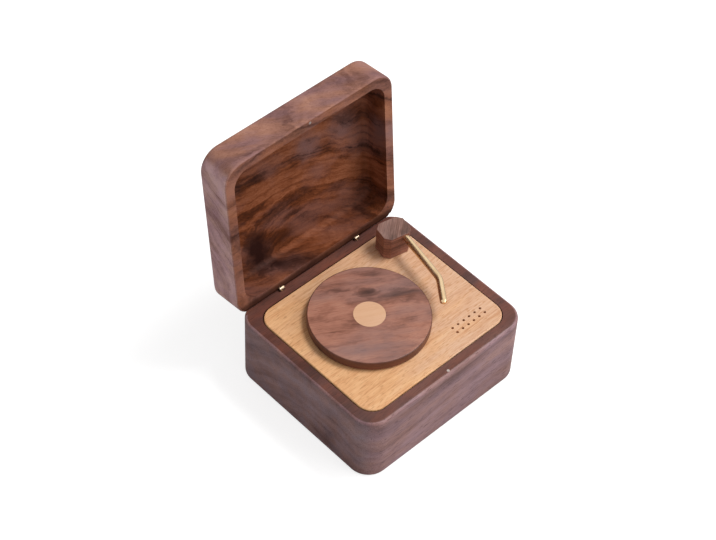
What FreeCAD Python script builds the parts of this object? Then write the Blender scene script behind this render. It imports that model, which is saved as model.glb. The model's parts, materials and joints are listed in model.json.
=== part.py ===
"""A small walnut music box in the form of a record player, with its lid open.

The frame has its origin at the centre of the base's underside, +X to the right as
seen from the front, +Y towards the hinges and +Z up.  All lengths are millimetres
and all angles are degrees.  Everything is drawn in the pose in which the box is
shown: the lid open on its bevels and the tonearm beside the platter.

Every size stands in the sheet "dims".  Expressions name a size, or one of the
derived places in PLACES, by its plain name.
"""

import FreeCAD, Part

import math
import os
import random
import re

import Sketcher
from FreeCAD import Placement, Rotation, Vector

SIZES = {
    # wooden base
    "case_width": 95.0,
    "case_depth": 85.5,
    "base_height": 37.0,
    "corner_round": 10.0,
    "rim_round": 1.5,
    "foot_round": 1.5,
    "floor_thickness": 4.0,
    "cavity_wall": 8.0,
    "cavity_round": 6.0,
    # beech deck
    "deck_inset": 5.7,
    "deck_inset_back": 7.4,
    "deck_gap": 0.45,
    "deck_thickness": 4.0,
    "deck_proud": 0.5,
    "deck_round": 8.0,
    "deck_edge_round": 0.6,
    "grille_x": 26.15,
    "grille_y": -27.4,
    "grille_pitch_x": 3.39,
    "grille_pitch_y": 3.0,
    "grille_radius": 0.62,
    # wooden lid
    "lid_height": 16.5,
    "lid_wall": 4.93,
    "lid_back_wall": 7.0,
    "lid_top_thickness": 3.2,
    "lid_cavity_round": 8.0,
    "lid_floor_round": 2.5,
    "lid_top_round": 2.0,
    "lid_rim_round": 0.9,
    "lid_gap": 0.15,
    "open_angle": 95.75,
    # barrel hinges
    "hinge_inset": 2.25,
    "hinge_spacing": 45.4,
    "bevel_ease": 0.75,
    "bevel_drop": 0.06,
    "rebate_width": 1.3,
    "rebate_depth": 0.7,
    "barrel_radius": 1.3,
    "barrel_length": 7.0,
    "barrel_back": 0.25,
    "barrel_drop": 1.3,
    "eye_radius": 0.95,
    "neck_half": 0.55,
    "tongue_width": 0.8,
    "ear_width": 0.7,
    "link_play": 0.05,
    "hinge_pin_radius": 0.35,
    "mortise_radius": 1.15,
    "mortise_width": 2.7,
    # magnetic catch
    "magnet_radius": 0.65,
    "magnet_length": 3.0,
    "magnet_inset": 1.75,
    # how far a cutter runs past what it cuts
    "overcut": 1.0,
    # fits
    "running_play": 0.05,
    "pin_play": 0.03,
    "seat_play": 0.01,
    # turntable
    "spindle_x": -6.95,
    "spindle_y": 0.87,
    "platter_radius": 27.3,
    "platter_thickness": 4.2,
    "platter_gap": 0.8,
    "platter_edge_round": 0.6,
    "label_radius": 7.1,
    "label_thickness": 1.0,
    "flange_radius": 7.0,
    "flange_thickness": 1.5,
    "flange_recess": 0.1,
    "boss_radius": 3.6,
    "boss_length": 4.0,
    "boss_play": 0.4,
    "hub_screw_circle": 5.3,
    "hub_screw_radius": 0.8,
    "hub_screw_grip": 1.1,
    "hub_head_radius": 1.4,
    "hub_head_depth": 0.8,
    "arbor_radius": 2.45,
    "arbor_tail": 0.8,
    "bush_wall": 0.95,
    "bush_collar": 1.0,
    "collar_thickness": 0.6,
    # die-cast bedplate
    "plate_margin": 1.1,
    "plate_margin_back": 2.25,
    "bedplate_thickness": 2.0,
    "bedplate_round": 3.0,
    "plate_screw_inset": 3.4,
    "plate_screw_gap": 10.0,
    "plate_screw_radius": 1.0,
    "plate_screw_grip": 2.6,
    "plate_head_radius": 1.9,
    "plate_head_height": 1.1,
    # spring motor
    "housing_radius": 12.0,
    "housing_height": 9.0,
    "housing_wall": 0.6,
    "spring_start": 3.0,
    "spring_pitch": 1.05,
    "spring_half_turns": 15,
    "spring_strip": 0.35,
    "spring_margin": 0.9,
    # crown wheel and ratchet
    "crown_module": 0.6,
    "crown_teeth": 36,
    "pinion_teeth": 12,
    "crown_face": 2.2,
    "crown_rim": 0.1,
    "crown_disc": 1.5,
    "crown_drop": 0.8,
    "ratchet_wall": 0.95,
    "ratchet_depth": 0.6,
    "ratchet_teeth": 12,
    "ratchet_thickness": 1.1,
    "ratchet_gap": 0.1,
    "clip_radius": 3.8,
    "clip_thickness": 0.6,
    "clip_gap": 0.3,
    "pawl_width": 1.2,
    "pawl_gap": 0.15,
    "pawl_margin": 0.35,
    # pinned cylinder
    "drum_radius": 6.5,
    "drum_wall": 0.5,
    "drum_length": 20.0,
    "cap_thickness": 1.2,
    "music_pin_radius": 0.2,
    "music_pin_height": 0.6,
    "shaft_radius": 0.75,
    "shaft_overhang": 0.3,
    "pinion_width": 2.0,
    "post_gap": 0.6,
    "post_thickness": 1.6,
    "post_half": 2.5,
    # comb
    "tine_count": 18,
    "tine_gap": 0.25,
    "tine_length": 9.0,
    "comb_depth": 14.0,
    "comb_thickness": 0.9,
    "comb_seat_depth": 4.5,
    "comb_tip_gap": 0.15,
    "comb_screw_radius": 1.0,
    "comb_screw_inset": 4.0,
    "comb_screw_grip": 5.7,
    "comb_head_radius": 1.9,
    "comb_head_height": 1.2,
    # governor train
    "train_module": 0.5,
    "gear_teeth": 30,
    "idler_teeth": 10,
    "worm_wheel_teeth": 20,
    "gear_width": 1.4,
    "idler_pinion_width": 1.8,
    "idler_shaft_radius": 0.6,
    "idler_post_half": 1.8,
    "worm_radius": 1.25,
    "worm_shaft_radius": 0.6,
    "worm_turns": 4.5,
    "worm_wheel_gap": 1.65,
    "worm_side": 0.75,
    "fan_radius": 3.6,
    "fan_height": 6.0,
    "fan_thickness": 0.3,
    "fan_drop": 1.0,
    "fan_hub_radius": 1.0,
    "bracket_thickness": 1.8,
    "bracket_half": 1.6,
    "bracket_drop": 6.45,
    "bracket_blind": 0.6,
    "lug_radius": 2.0,
    "lug_height": 2.4,
    "lug_blind": 0.3,
    "screw_tip_gap": 0.1,
    "bracket_screw_radius": 0.75,
    "bracket_head_radius": 1.4,
    "bracket_head_height": 1.0,
    # tonearm and its post
    "pivot_x": 30.7,
    "pivot_y": 25.5,
    "arm_turn": 11.75,
    "arm_post_width": 14.04,
    "arm_post_depth": 11.36,
    "arm_post_chamfer": 2.45,
    "arm_post_height": 12.5,
    "arm_post_gap": 0.2,
    "arm_post_edge": 0.3,
    "rod_radius": 1.6,
    "rod_height": 10.2,
    "rod_offset": 2.94,
    "rod_seat": 4.8,
    "rod_reach": 33.05,
    "rod_bend": 25.1,
    "rod_bend_radius": 12.0,
    "rod_tip_length": 14.5,
    "rod_tip_round": 0.9,
    "pivot_radius": 1.5,
    "pivot_collar_radius": 3.0,
    "pivot_seat": 6.3,
    "pivot_bush_radius": 2.6,
    "washer_radius": 3.2,
    "washer_thickness": 0.4,
    "washer_play": 0.1,
    "lever_sleeve_radius": 2.4,
    "lever_sleeve_length": 3.4,
    "lever_thickness": 1.2,
    "lever_width": 1.6,
    "lever_length": 5.0,
    "lever_finger": 3.6,
    "nut_radius": 2.6,
    "nut_height": 1.0,
}

PLACES = {
    "half_width": "case_width / 2",
    "half_depth": "case_depth / 2",
    "deck_top": "base_height + deck_proud",
    "ledge": "deck_top - deck_thickness",
    "deck_side": "half_width - deck_inset",
    "deck_front": "half_depth - deck_inset",
    "deck_back": "half_depth - deck_inset_back",
    "cavity_side": "half_width - cavity_wall",
    "cavity_end": "half_depth - cavity_wall",
    "lid_bottom": "base_height + lid_gap",
    "hinge_y": "half_depth - hinge_inset",
    "hinge_z": "base_height + lid_gap / 2",
    "hinge_x": "hinge_spacing / 2",
    "barrel_y": "hinge_y - barrel_back",
    "bevel": "open_angle / 2 + bevel_ease",
    "magnet_y": "magnet_inset - half_depth",
    "platter_bottom": "deck_top + platter_gap",
    "platter_top": "platter_bottom + platter_thickness",
    "flange_bottom": "platter_bottom + flange_recess",
    "flange_top": "flange_bottom + flange_thickness",
    "bedplate_bottom": "ledge - bedplate_thickness",
    "bedplate_left": "spindle_x - housing_radius - plate_margin",
    "bedplate_right": "outer_post_x + post_thickness + plate_margin",
    "bedplate_front": "comb_root_y - plate_margin",
    "bedplate_back": "worm_y + plate_margin_back",
    "bush_radius": "arbor_radius + bush_wall",
    "housing_bottom": "bedplate_bottom - housing_height",
    "crown_top": "housing_bottom - crown_drop",
    "crown_root": "crown_top - crown_disc",
    "crown_addendum": "0.8 * crown_module",
    "crown_dedendum": "1.24 * crown_module",
    "pinion_radius": "pinion_teeth * crown_module / 2",
    "drum_z": "crown_root - crown_dedendum - pinion_radius",
    "ratchet_top": "crown_root - ratchet_gap",
    "ratchet_radius": "arbor_radius + ratchet_wall + ratchet_depth",
    "pawl_tip": "ratchet_radius + pawl_gap",
    "pawl_heel": "crown_pitch_radius - crown_face / 2 - pawl_margin - pawl_width",
    "clip_top": "ratchet_top - ratchet_thickness - clip_gap",
    "arbor_bottom": "clip_top - clip_thickness - arbor_tail",
    "crown_pitch_radius": "crown_teeth * crown_module / 2",
    "crown_radius": "crown_pitch_radius + crown_face / 2 + crown_rim",
    "pinion_x": "spindle_x + crown_pitch_radius - pinion_width / 2",
    "near_post_x": "spindle_x + max(crown_radius; housing_radius) + post_gap",
    "drum_x": "near_post_x + post_thickness + post_gap",
    "drum_end_x": "drum_x + drum_length",
    "far_post_x": "drum_end_x + post_gap",
    "gear_x": "far_post_x + post_thickness + post_gap",
    "gear_radius": "gear_teeth * train_module / 2",
    "idler_radius": "idler_teeth * train_module / 2",
    "worm_wheel_radius": "worm_wheel_teeth * train_module / 2",
    "train_addendum": "0.8 * train_module",
    "train_dedendum": "1.24 * train_module",
    "idler_y": "spindle_y + gear_radius + idler_radius",
    "worm_wheel_x": "gear_x + gear_width + worm_wheel_gap",
    "worm_x": "worm_wheel_x + gear_width / 2",
    "worm_y": "idler_y + worm_wheel_radius + worm_radius",
    "outer_post_x": "worm_wheel_x + gear_width + worm_side",
    "bracket_top": "drum_z - bracket_drop",
    "fan_top": "bedplate_bottom - fan_drop",
    "comb_tip_y": "spindle_y - drum_radius - music_pin_height - comb_tip_gap",
    "comb_root_y": "comb_tip_y - comb_depth",
    "comb_top": "drum_z + comb_thickness / 2",
    "comb_bottom": "drum_z - comb_thickness / 2",
    "comb_screw_y": "comb_root_y + comb_seat_depth / 2",
    "post_bottom": "deck_top + arm_post_gap",
    "rod_z": "deck_top + rod_height",
    "washer_top": "ledge - washer_play",
    "lever_top": "washer_top - washer_thickness",
    "lever_bottom": "lever_top - lever_sleeve_length",
    "lug_x": "far_post_x + post_thickness / 2",
}

# Half widths of a tooth at its tip, pitch line and root, as shares of the module.
WHEEL_TOOTH = (0.26, 0.52, 0.80)
PINION_TOOTH = (0.30, 0.58, 0.68)
WORM_TOOTH = (0.24, 0.50, 0.76)

X_AXIS = Vector(1, 0, 0)
Y_AXIS = Vector(0, 1, 0)
Z_AXIS = Vector(0, 0, 1)

# The directions in which a round bar can run, each as a turn from +Z.
RUNS = {"z": (Z_AXIS, 0), "x": (Y_AXIS, 90), "y": (X_AXIS, -90), "-y": (X_AXIS, 90)}

PINS_PER_TRACK = 3
PIN_SCATTER = 0.7
PIN_SEED = 18
HUB_SCREWS = 3
GRILLE_COLUMNS = 6
GRILLE_ROWS = 2

doc = FreeCAD.newDocument("music_box")
sheet = doc.addObject("Spreadsheet::Sheet", "dims")
pieces = {}


# ---------------------------------------------------------------- values


def fill_sheet():
    """Write each size as plain text beside its name, and alias its cell."""
    for row, (name, size) in enumerate(SIZES.items(), 1):
        sheet.set(f"A{row}", name)
        sheet.set(f"B{row}", str(size))
        sheet.setAlias(f"B{row}", name)
    doc.recompute()


def linked(text):
    """Turn plain names in an expression into references to the sheet."""

    def swap(match):
        word = match.group()
        if word in SIZES:
            return f"dims.{word}"
        if word in PLACES:
            return f"({linked(PLACES[word])})"
        return word

    return re.sub(r"[a-z][a-z_]*", swap, str(text))


def value(text):
    """The present number of an expression."""
    return float(sheet.evalExpression(linked(text)))


def bind(item, **expressions):
    """Bind properties of an object to expressions of sizes."""
    for name, text in expressions.items():
        item.setExpression(name, linked(text))
    return item


def place(item, x=0, y=0, z=0, axis=Z_AXIS, angle=0):
    """Bind an object's place, after a fixed turn about a fixed axis."""
    item.Placement = Placement(Vector(0, 0, 0), Rotation(axis, 1))
    item.setExpression("Placement.Rotation.Angle", linked(angle))
    for name, text in zip("xyz", (x, y, z)):
        item.setExpression(f"Placement.Base.{name}", linked(text))
    return item


def keep(label, item):
    """Name a finished piece and list it for export."""
    item.Label = label
    pieces[label] = item
    return item


# ---------------------------------------------------------------- solids


def box(corner, size):
    """A box from its lowest corner and its three lengths."""
    item = bind(doc.addObject("Part::Box", "block"), Length=size[0], Width=size[1], Height=size[2])
    return place(item, *corner)


def cylinder(centre, radius, length, run="z"):
    """A round bar from the centre of its first face, in one of the named directions."""
    item = bind(doc.addObject("Part::Cylinder", "bar"), Radius=radius, Height=length)
    return place(item, *centre, *RUNS[run])


def cone(centre, low_radius, high_radius, length):
    """A frustum along +Z from the centre of its first face."""
    item = bind(
        doc.addObject("Part::Cone", "frustum"), Radius1=low_radius, Radius2=high_radius, Height=length
    )
    return place(item, *centre)


def fuse(*items):
    """One solid from several that overlap."""
    item = doc.addObject("Part::MultiFuse", "joined")
    item.Shapes = list(items)
    item.Refine = True
    return item


def group(*items):
    """Several separate solids that share one node."""
    item = doc.addObject("Part::Compound", "together")
    item.Links = list(items)
    return item


def cut(base, *tools):
    """The base less every tool."""
    item = doc.addObject("Part::Cut", "pierced")
    item.Base = base
    item.Tool = tools[0] if len(tools) == 1 else group(*tools)
    item.Refine = True
    return item


# ---------------------------------------------------------------- bodies


def new_body(label):
    """A PartDesign body that is one of the pieces."""
    return keep(label, doc.addObject("PartDesign::Body", label))


def origin_part(body, role):
    """A body's own origin plane or axis."""
    return next(item for item in body.Origin.OriginFeatures if item.Role == role)


def sketch(body, plane, level=0):
    """An empty sketch on one of the body's origin planes, raised to a level."""
    item = body.newObject("Sketcher::SketchObject", "outline")
    item.AttachmentSupport = [(origin_part(body, plane), "")]
    item.MapMode = "FlatFace"
    item.setExpression("AttachmentOffset.Base.z", linked(level))
    return item


def pin_point(item, geometry, position, name, x, y):
    """Fix one point of a sketch's geometry by two bound distances from the origin."""
    for kind, text in (("DistanceX", x), ("DistanceY", y)):
        index = item.addConstraint(
            Sketcher.Constraint(kind, -1, 1, geometry, position, value(text))
        )
        item.renameConstraint(index, f"{name}_{kind}")
        item.setExpression(f"Constraints.{name}_{kind}", linked(text))


def outline(item, corners):
    """A closed outline of straight lines through the corners."""
    first = item.GeometryCount
    points = [Vector(value(x), value(y), 0) for x, y in corners]
    count = len(points)
    for index, point in enumerate(points):
        item.addGeometry(Part.LineSegment(point, points[(index + 1) % count]), False)
    for index, (x, y) in enumerate(corners):
        after = first + (index + 1) % count
        item.addConstraint(Sketcher.Constraint("Coincident", first + index, 2, after, 1))
        pin_point(item, first + index, 1, f"corner{first + index}", x, y)
    return item


def rectangle(item, left, right, front, back):
    """A rectangle between four places."""
    return outline(item, [(left, front), (right, front), (right, back), (left, back)])


def circle(item, x, y, radius):
    """A circle whose centre and radius are bound."""
    index = item.addGeometry(
        Part.Circle(Vector(value(x), value(y), 0), Z_AXIS, value(radius)), False
    )
    pin_point(item, index, 3, f"centre{index}", x, y)
    number = item.addConstraint(Sketcher.Constraint("Radius", index, value(radius)))
    item.renameConstraint(number, f"radius{index}")
    item.setExpression(f"Constraints.radius{index}", linked(radius))
    return item


def pad(profile, length, down=False, both_ways=False):
    """Raise a sketch from its plane into a solid."""
    item = profile.getParentGeoFeatureGroup().newObject("PartDesign::Pad", "raised")
    item.Profile = profile
    item.SideType = "Symmetric" if both_ways else "One side"
    item.Reversed = down
    bind(item, Length=length)
    doc.recompute()
    return item


def pocket(profile, depth, up=False, both_ways=False):
    """Cut a sketch down from its plane, and check that it removed something."""
    body = profile.getParentGeoFeatureGroup()
    before = body.Shape.Volume
    item = body.newObject("PartDesign::Pocket", "sunk")
    item.Profile = profile
    item.SideType = "Symmetric" if both_ways else "One side"
    item.Reversed = up
    bind(item, Length=depth)
    doc.recompute()
    assert body.Shape.Volume < before - 1e-6, f"{body.Label}: {item.Name} cuts nothing"
    return item


def soften(body, radius, test):
    """Round the edges of a body's tip that pass a test on their end points."""
    tip = body.Tip
    names = [
        f"Edge{number}"
        for number, edge in enumerate(tip.Shape.Edges, 1)
        if test([vertex.Point for vertex in edge.Vertexes])
    ]
    assert names, f"{body.Label}: no edge to round"
    item = body.newObject("PartDesign::Fillet", "softened")
    item.Base = (tip, names)
    bind(item, Radius=radius)
    doc.recompute()
    return item


def near(number, target):
    """Whether a coordinate equals a target."""
    return abs(number - target) < 1e-4


def upright(left, right, front, back, low, high):
    """A test for the upright edges at a rectangle's corners between two levels."""
    ends = [value(low), value(high)]
    corners = [Vector(value(x), value(y), 0) for x in (left, right) for y in (front, back)]

    def test(points):
        if len(points) != 2:
            return False
        flat = [Vector(point.x, point.y, 0) for point in points]
        levels = sorted(point.z for point in points)
        spans = all(near(level, end) for level, end in zip(levels, ends))
        return spans and any(all(point.isEqual(corner, 1e-4) for point in flat) for corner in corners)

    return test


def at_level(level):
    """A test for the edges that lie at one level."""
    height = value(level)
    return lambda points: all(near(point.z, height) for point in points)


def pattern(feature, axis, count):
    """Repeat a feature evenly round one of its body's axes."""
    body = feature.getParentGeoFeatureGroup()
    item = body.newObject("PartDesign::PolarPattern", "repeated")
    item.Originals = [feature]
    item.Axis = (origin_part(body, axis), [""])
    item.Angle = 360
    bind(item, Occurrences=count)
    body.Tip = item
    doc.recompute()
    return item


# ---------------------------------------------------------------- wooden case


def rounded_block(body, low, height, rims):
    """The outer block of the base or lid, with its corners and both its rims rounded."""
    edges = ("-half_width", "half_width", "-half_depth", "half_depth")
    pad(rectangle(sketch(body, "XY_Plane", low), *edges), height)
    soften(body, "corner_round", upright(*edges, low, f"{low} + {height}"))
    for level, radius in rims:
        soften(body, radius, at_level(level))


def bevel_rear_edge(body, direction):
    """Cut the rear rim back along the plane on which the open lid comes to rest."""
    rise = f"{direction} * tan(bevel)"
    start = f"hinge_z + {direction} * bevel_drop / cos(bevel)"
    near_y = "hinge_y - overcut"
    far_y = "half_depth + overcut"
    profile = sketch(body, "YZ_Plane")
    outline(
        profile,
        [
            (near_y, f"{start} - {rise} * overcut"),
            (far_y, f"{start} + {rise} * (hinge_inset + overcut)"),
            (far_y, f"{start} - {rise} * overcut"),
        ],
    )
    pocket(profile, "case_width + 2 * overcut", both_ways=True)


def rebate_joint(body, rim, direction):
    """Cut the shallow step along the rear rim in which the hinge eyes show."""
    profile = sketch(body, "YZ_Plane")
    front, back = "hinge_y - rebate_width", "hinge_y + overcut"
    floor = f"{rim} + {direction} * rebate_depth"
    past = f"{rim} - {direction} * overcut"
    outline(profile, [(front, past), (back, past), (back, floor), (front, floor)])
    pocket(profile, "case_width + 2 * overcut", both_ways=True)


def hinge_seats(body, rim, up):
    """Bore both barrel seats and the mortises that clear the hinge eyes."""
    seats = sketch(body, "XY_Plane", rim)
    for side in ("-", ""):
        circle(seats, f"{side}hinge_x", "barrel_y", "barrel_radius + seat_play")
    pocket(seats, "barrel_length + barrel_drop + lid_gap", up=up)
    for side in ("-", ""):
        mortise = sketch(body, "YZ_Plane", f"{side}hinge_x")
        circle(mortise, "hinge_y", "hinge_z", "mortise_radius")
        pocket(mortise, "mortise_width", both_ways=True)


def magnet_seat(body, rim, up):
    """Bore the seat of a catch magnet in the front rim."""
    profile = sketch(body, "XY_Plane", rim)
    circle(profile, 0, "magnet_y", "magnet_radius + seat_play")
    pocket(profile, "magnet_length", up=up)


def make_base():
    """The walnut base: a block with a recess for the deck and a cavity for the movement."""
    body = new_body("base_case")
    rounded_block(body, "0", "base_height", [("0", "foot_round"), ("base_height", "rim_round")])
    edges = ("-cavity_side", "cavity_side", "-cavity_end", "cavity_end")
    cavity = rectangle(sketch(body, "XY_Plane", "base_height"), *edges)
    pocket(cavity, "base_height - floor_thickness")
    soften(body, "cavity_round", upright(*edges, "floor_thickness", "base_height"))
    side = "deck_side + deck_gap"
    edges = (f"-({side})", side, "-(deck_front + deck_gap)", "deck_back + deck_gap")
    recess = rectangle(sketch(body, "XY_Plane", "base_height"), *edges)
    pocket(recess, "base_height - ledge")
    soften(body, "deck_round + deck_gap", upright(*edges, "ledge", "base_height"))
    bevel_rear_edge(body, -1)
    rebate_joint(body, "base_height", -1)
    hinge_seats(body, "base_height", up=False)
    magnet_seat(body, "base_height", up=False)


def plate_screw_places():
    """The four wood screws that hold the bedplate under the deck."""
    left, right = "bedplate_left + plate_screw_inset", "bedplate_right - plate_screw_inset"
    front, back = "bedplate_front + plate_screw_inset", "bedplate_back - plate_screw_inset"
    return [(left, front), (left, back), (right, front), (f"{right} - plate_screw_gap", back)]


def make_deck():
    """The beech deck, a little proud of the rim, with its sound holes and bores."""
    body = new_body("deck_plate")
    edges = ("-deck_side", "deck_side", "-deck_front", "deck_back")
    pad(rectangle(sketch(body, "XY_Plane", "ledge"), *edges), "deck_thickness")
    soften(body, "deck_round", upright(*edges, "ledge", "deck_top"))
    soften(body, "deck_edge_round", at_level("deck_top"))
    bores = sketch(body, "XY_Plane", "deck_top")
    circle(bores, "spindle_x", "spindle_y", "boss_radius + boss_play")
    circle(bores, "pivot_x", "pivot_y", "pivot_bush_radius + seat_play")
    for column in range(GRILLE_COLUMNS):
        for row in range(GRILLE_ROWS):
            x = f"grille_x + {column - (GRILLE_COLUMNS - 1) / 2} * grille_pitch_x"
            y = f"grille_y + {row - (GRILLE_ROWS - 1) / 2} * grille_pitch_y"
            circle(bores, x, y, "grille_radius")
    pocket(bores, "deck_thickness")
    pilots = sketch(body, "XY_Plane", "ledge")
    for x, y in plate_screw_places():
        circle(pilots, x, y, "plate_screw_radius + seat_play")
    pocket(pilots, "plate_screw_grip", up=True)


def lid_open(item):
    """Turn a piece that is drawn closed to where the open lid holds it."""
    place(
        item,
        0,
        "hinge_y - hinge_y * cos(open_angle) - hinge_z * sin(open_angle)",
        "hinge_z + hinge_y * sin(open_angle) - hinge_z * cos(open_angle)",
        X_AXIS,
        "-open_angle",
    )


def make_lid():
    """The walnut lid: a block hollowed from its rim, drawn closed and turned open."""
    body = new_body("lid_shell")
    top = "lid_bottom + lid_height"
    ceiling = f"{top} - lid_top_thickness"
    rims = [(top, "lid_top_round"), ("lid_bottom", "lid_rim_round")]
    rounded_block(body, "lid_bottom", "lid_height", rims)
    side = "half_width - lid_wall"
    edges = (f"-({side})", side, "lid_wall - half_depth", "half_depth - lid_back_wall")
    hollow = rectangle(sketch(body, "XY_Plane", "lid_bottom"), *edges)
    pocket(hollow, "lid_height - lid_top_thickness", up=True)
    soften(body, "lid_cavity_round", upright(*edges, "lid_bottom", ceiling))
    soften(body, "lid_floor_round", at_level(ceiling))
    bevel_rear_edge(body, 1)
    rebate_joint(body, "lid_bottom", 1)
    hinge_seats(body, "lid_bottom", up=True)
    magnet_seat(body, "lid_bottom", up=True)
    lid_open(body)


def make_magnets():
    """The two small magnets that hold the lid shut."""
    low = cylinder((0, "magnet_y", "base_height - magnet_length"), "magnet_radius", "magnet_length")
    keep("catch_magnet_base", low)
    high = group(cylinder((0, "magnet_y", "lid_bottom"), "magnet_radius", "magnet_length"))
    keep("catch_magnet_lid", high)
    lid_open(high)


def hinge_leaf(x, width, shift, direction):
    """One eye of a hinge with the neck that joins it to its barrel."""
    left = f"{x} + {shift} - ({width}) / 2"
    low = "hinge_z" if direction > 0 else "hinge_z - barrel_drop"
    return [
        cylinder((left, "hinge_y", "hinge_z"), "eye_radius", width, "x"),
        box((left, "barrel_y - neck_half", low), (width, "2 * neck_half", "barrel_drop")),
    ]


def make_hinge(side, name):
    """A barrel hinge: a tongue on the base's barrel between two ears on the lid's."""
    x = f"{side}hinge_x"
    low_barrel = cylinder(
        (x, "barrel_y", "hinge_z - barrel_drop - barrel_length"), "barrel_radius", "barrel_length"
    )
    tongue = hinge_leaf(x, "tongue_width", "0", -1)
    bore = cylinder(
        (f"{x} - tongue_width", "hinge_y", "hinge_z"), "hinge_pin_radius + pin_play",
        "2 * tongue_width", "x",
    )
    keep(f"hinge_barrel_base_{name}", cut(fuse(low_barrel, *tongue), bore))

    high_barrel = cylinder((x, "barrel_y", "hinge_z + barrel_drop"), "barrel_radius", "barrel_length")
    shift = "((tongue_width + ear_width) / 2 + link_play)"
    ears = hinge_leaf(x, "ear_width", f"-{shift}", 1) + hinge_leaf(x, "ear_width", shift, 1)
    span = "(tongue_width + 2 * link_play + 2 * ear_width)"
    start = f"{x} - {span} / 2"
    ear_bore = cylinder((start, "hinge_y", "hinge_z"), "hinge_pin_radius + seat_play", span, "x")
    clevis = keep(f"hinge_barrel_lid_{name}", cut(fuse(high_barrel, *ears), ear_bore))
    lid_open(clevis)
    pin = group(cylinder((start, "hinge_y", "hinge_z"), "hinge_pin_radius", span, "x"))
    keep(f"hinge_pin_{name}", pin)
    lid_open(pin)


# ---------------------------------------------------------------- turntable


def make_platter():
    """The walnut platter, with a recess for its label above and for its hub below."""
    body = new_body("platter")
    disc = sketch(body, "XY_Plane", "platter_bottom")
    circle(disc, "spindle_x", "spindle_y", "platter_radius")
    pad(disc, "platter_thickness")
    soften(body, "platter_edge_round", at_level("platter_top"))
    above = sketch(body, "XY_Plane", "platter_top")
    circle(above, "spindle_x", "spindle_y", "label_radius + seat_play")
    pocket(above, "label_thickness")
    below = sketch(body, "XY_Plane", "platter_bottom")
    circle(below, "spindle_x", "spindle_y", "flange_radius + running_play")
    pocket(below, "flange_recess + flange_thickness", up=True)
    pilots = sketch(body, "XY_Plane", "flange_top")
    for x, y in hub_screw_places():
        circle(pilots, x, y, "hub_screw_radius + seat_play")
    pocket(pilots, "hub_screw_grip", up=True)

    label = sketch(new_body("platter_label"), "XY_Plane", "platter_top - label_thickness")
    circle(label, "spindle_x", "spindle_y", "label_radius")
    pad(label, "label_thickness")


def hub_screw_places():
    """Places of the screws that hold the hub to the platter."""
    angles = [360 * number / HUB_SCREWS + 90 for number in range(HUB_SCREWS)]
    return [
        (f"spindle_x + hub_screw_circle * cos({angle})", f"spindle_y + hub_screw_circle * sin({angle})")
        for angle in angles
    ]


def make_hub():
    """The brass hub under the platter and its three countersunk screws."""
    centre = ("spindle_x", "spindle_y")
    flange = cylinder((*centre, "flange_bottom"), "flange_radius", "flange_thickness")
    boss = cylinder((*centre, "flange_bottom - boss_length"), "boss_radius", "boss_length")
    bore = cylinder(
        (*centre, "flange_bottom - boss_length"), "arbor_radius + seat_play",
        "boss_length + flange_thickness",
    )
    holes = []
    screws = []
    for x, y in hub_screw_places():
        start = (x, y, "flange_bottom")
        holes.append(cylinder(start, "hub_screw_radius + seat_play", "flange_thickness"))
        holes.append(cone(start, "hub_head_radius + seat_play", "hub_screw_radius", "hub_head_depth"))
        shank = cylinder(start, "hub_screw_radius", "flange_thickness + hub_screw_grip")
        head = cone(start, "hub_head_radius", "hub_screw_radius - seat_play", "hub_head_depth")
        screws.append(fuse(shank, head))
    keep("platter_hub", cut(fuse(flange, boss), bore, *holes))
    keep("hub_screws", group(*screws))


def make_arbor():
    """The steel winding arbor, its bush in the bedplate and the clip on its tail."""
    centre = ("spindle_x", "spindle_y")
    keep(
        "winding_arbor",
        cylinder((*centre, "arbor_bottom"), "arbor_radius", "flange_top - arbor_bottom"),
    )
    sleeve = cylinder((*centre, "bedplate_bottom"), "bush_radius", "bedplate_thickness")
    collar = cylinder(
        (*centre, "bedplate_bottom - collar_thickness"), "bush_radius + bush_collar",
        "collar_thickness",
    )
    bore = cylinder(
        (*centre, "bedplate_bottom - collar_thickness"), "arbor_radius + running_play",
        "bedplate_thickness + collar_thickness",
    )
    keep("arbor_bush", cut(fuse(sleeve, collar), bore))
    disc = cylinder((*centre, "clip_top - clip_thickness"), "clip_radius", "clip_thickness")
    eye = cylinder(
        (*centre, "clip_top - clip_thickness"), "arbor_radius + seat_play", "clip_thickness"
    )
    keep("arbor_clip", cut(disc, eye))


def make_spring_motor():
    """The spring housing under the bedplate and the mainspring coiled in it."""
    centre = ("spindle_x", "spindle_y")
    cup = cylinder((*centre, "housing_bottom"), "housing_radius", "housing_height")
    room = cylinder(
        (*centre, "housing_bottom + housing_wall"), "housing_radius - housing_wall", "housing_height"
    )
    bore = cylinder((*centre, "housing_bottom"), "arbor_radius + running_play", "housing_height")
    keep("spring_housing", cut(cup, room, bore))

    coil = doc.addObject("Part::Feature", "coil")
    height = value("housing_height - housing_wall - 2 * spring_margin")
    coil.Shape = spiral_strip().extrude(Vector(0, 0, height))
    place(coil, *centre, "housing_bottom + housing_wall + spring_margin")
    keep("mainspring", coil)


def spiral_strip():
    """A flat spiral of half circles, as wide as the strip, whose centres take turns."""
    step = value("spring_pitch") / 2
    strip = value("spring_strip")
    inner, outer = [], []
    for number in range(int(value("spring_half_turns"))):
        radius = value("spring_start") + number * step
        upper = number % 2 == 0
        middle = 0 if upper else step
        start, end = (0, 180) if upper else (180, 360)
        for edges, reach in ((inner, radius), (outer, radius + strip)):
            edges.append(Part.makeCircle(reach, Vector(middle, 0, 0), Z_AXIS, start, end))
    ends = [
        Part.makeLine(inner[0].firstVertex(True).Point, outer[0].firstVertex(True).Point),
        Part.makeLine(inner[-1].lastVertex(True).Point, outer[-1].lastVertex(True).Point),
    ]
    return Part.Face(Part.Wire(Part.__sortEdges__(inner + outer + ends)))


# ---------------------------------------------------------------- gears


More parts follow.
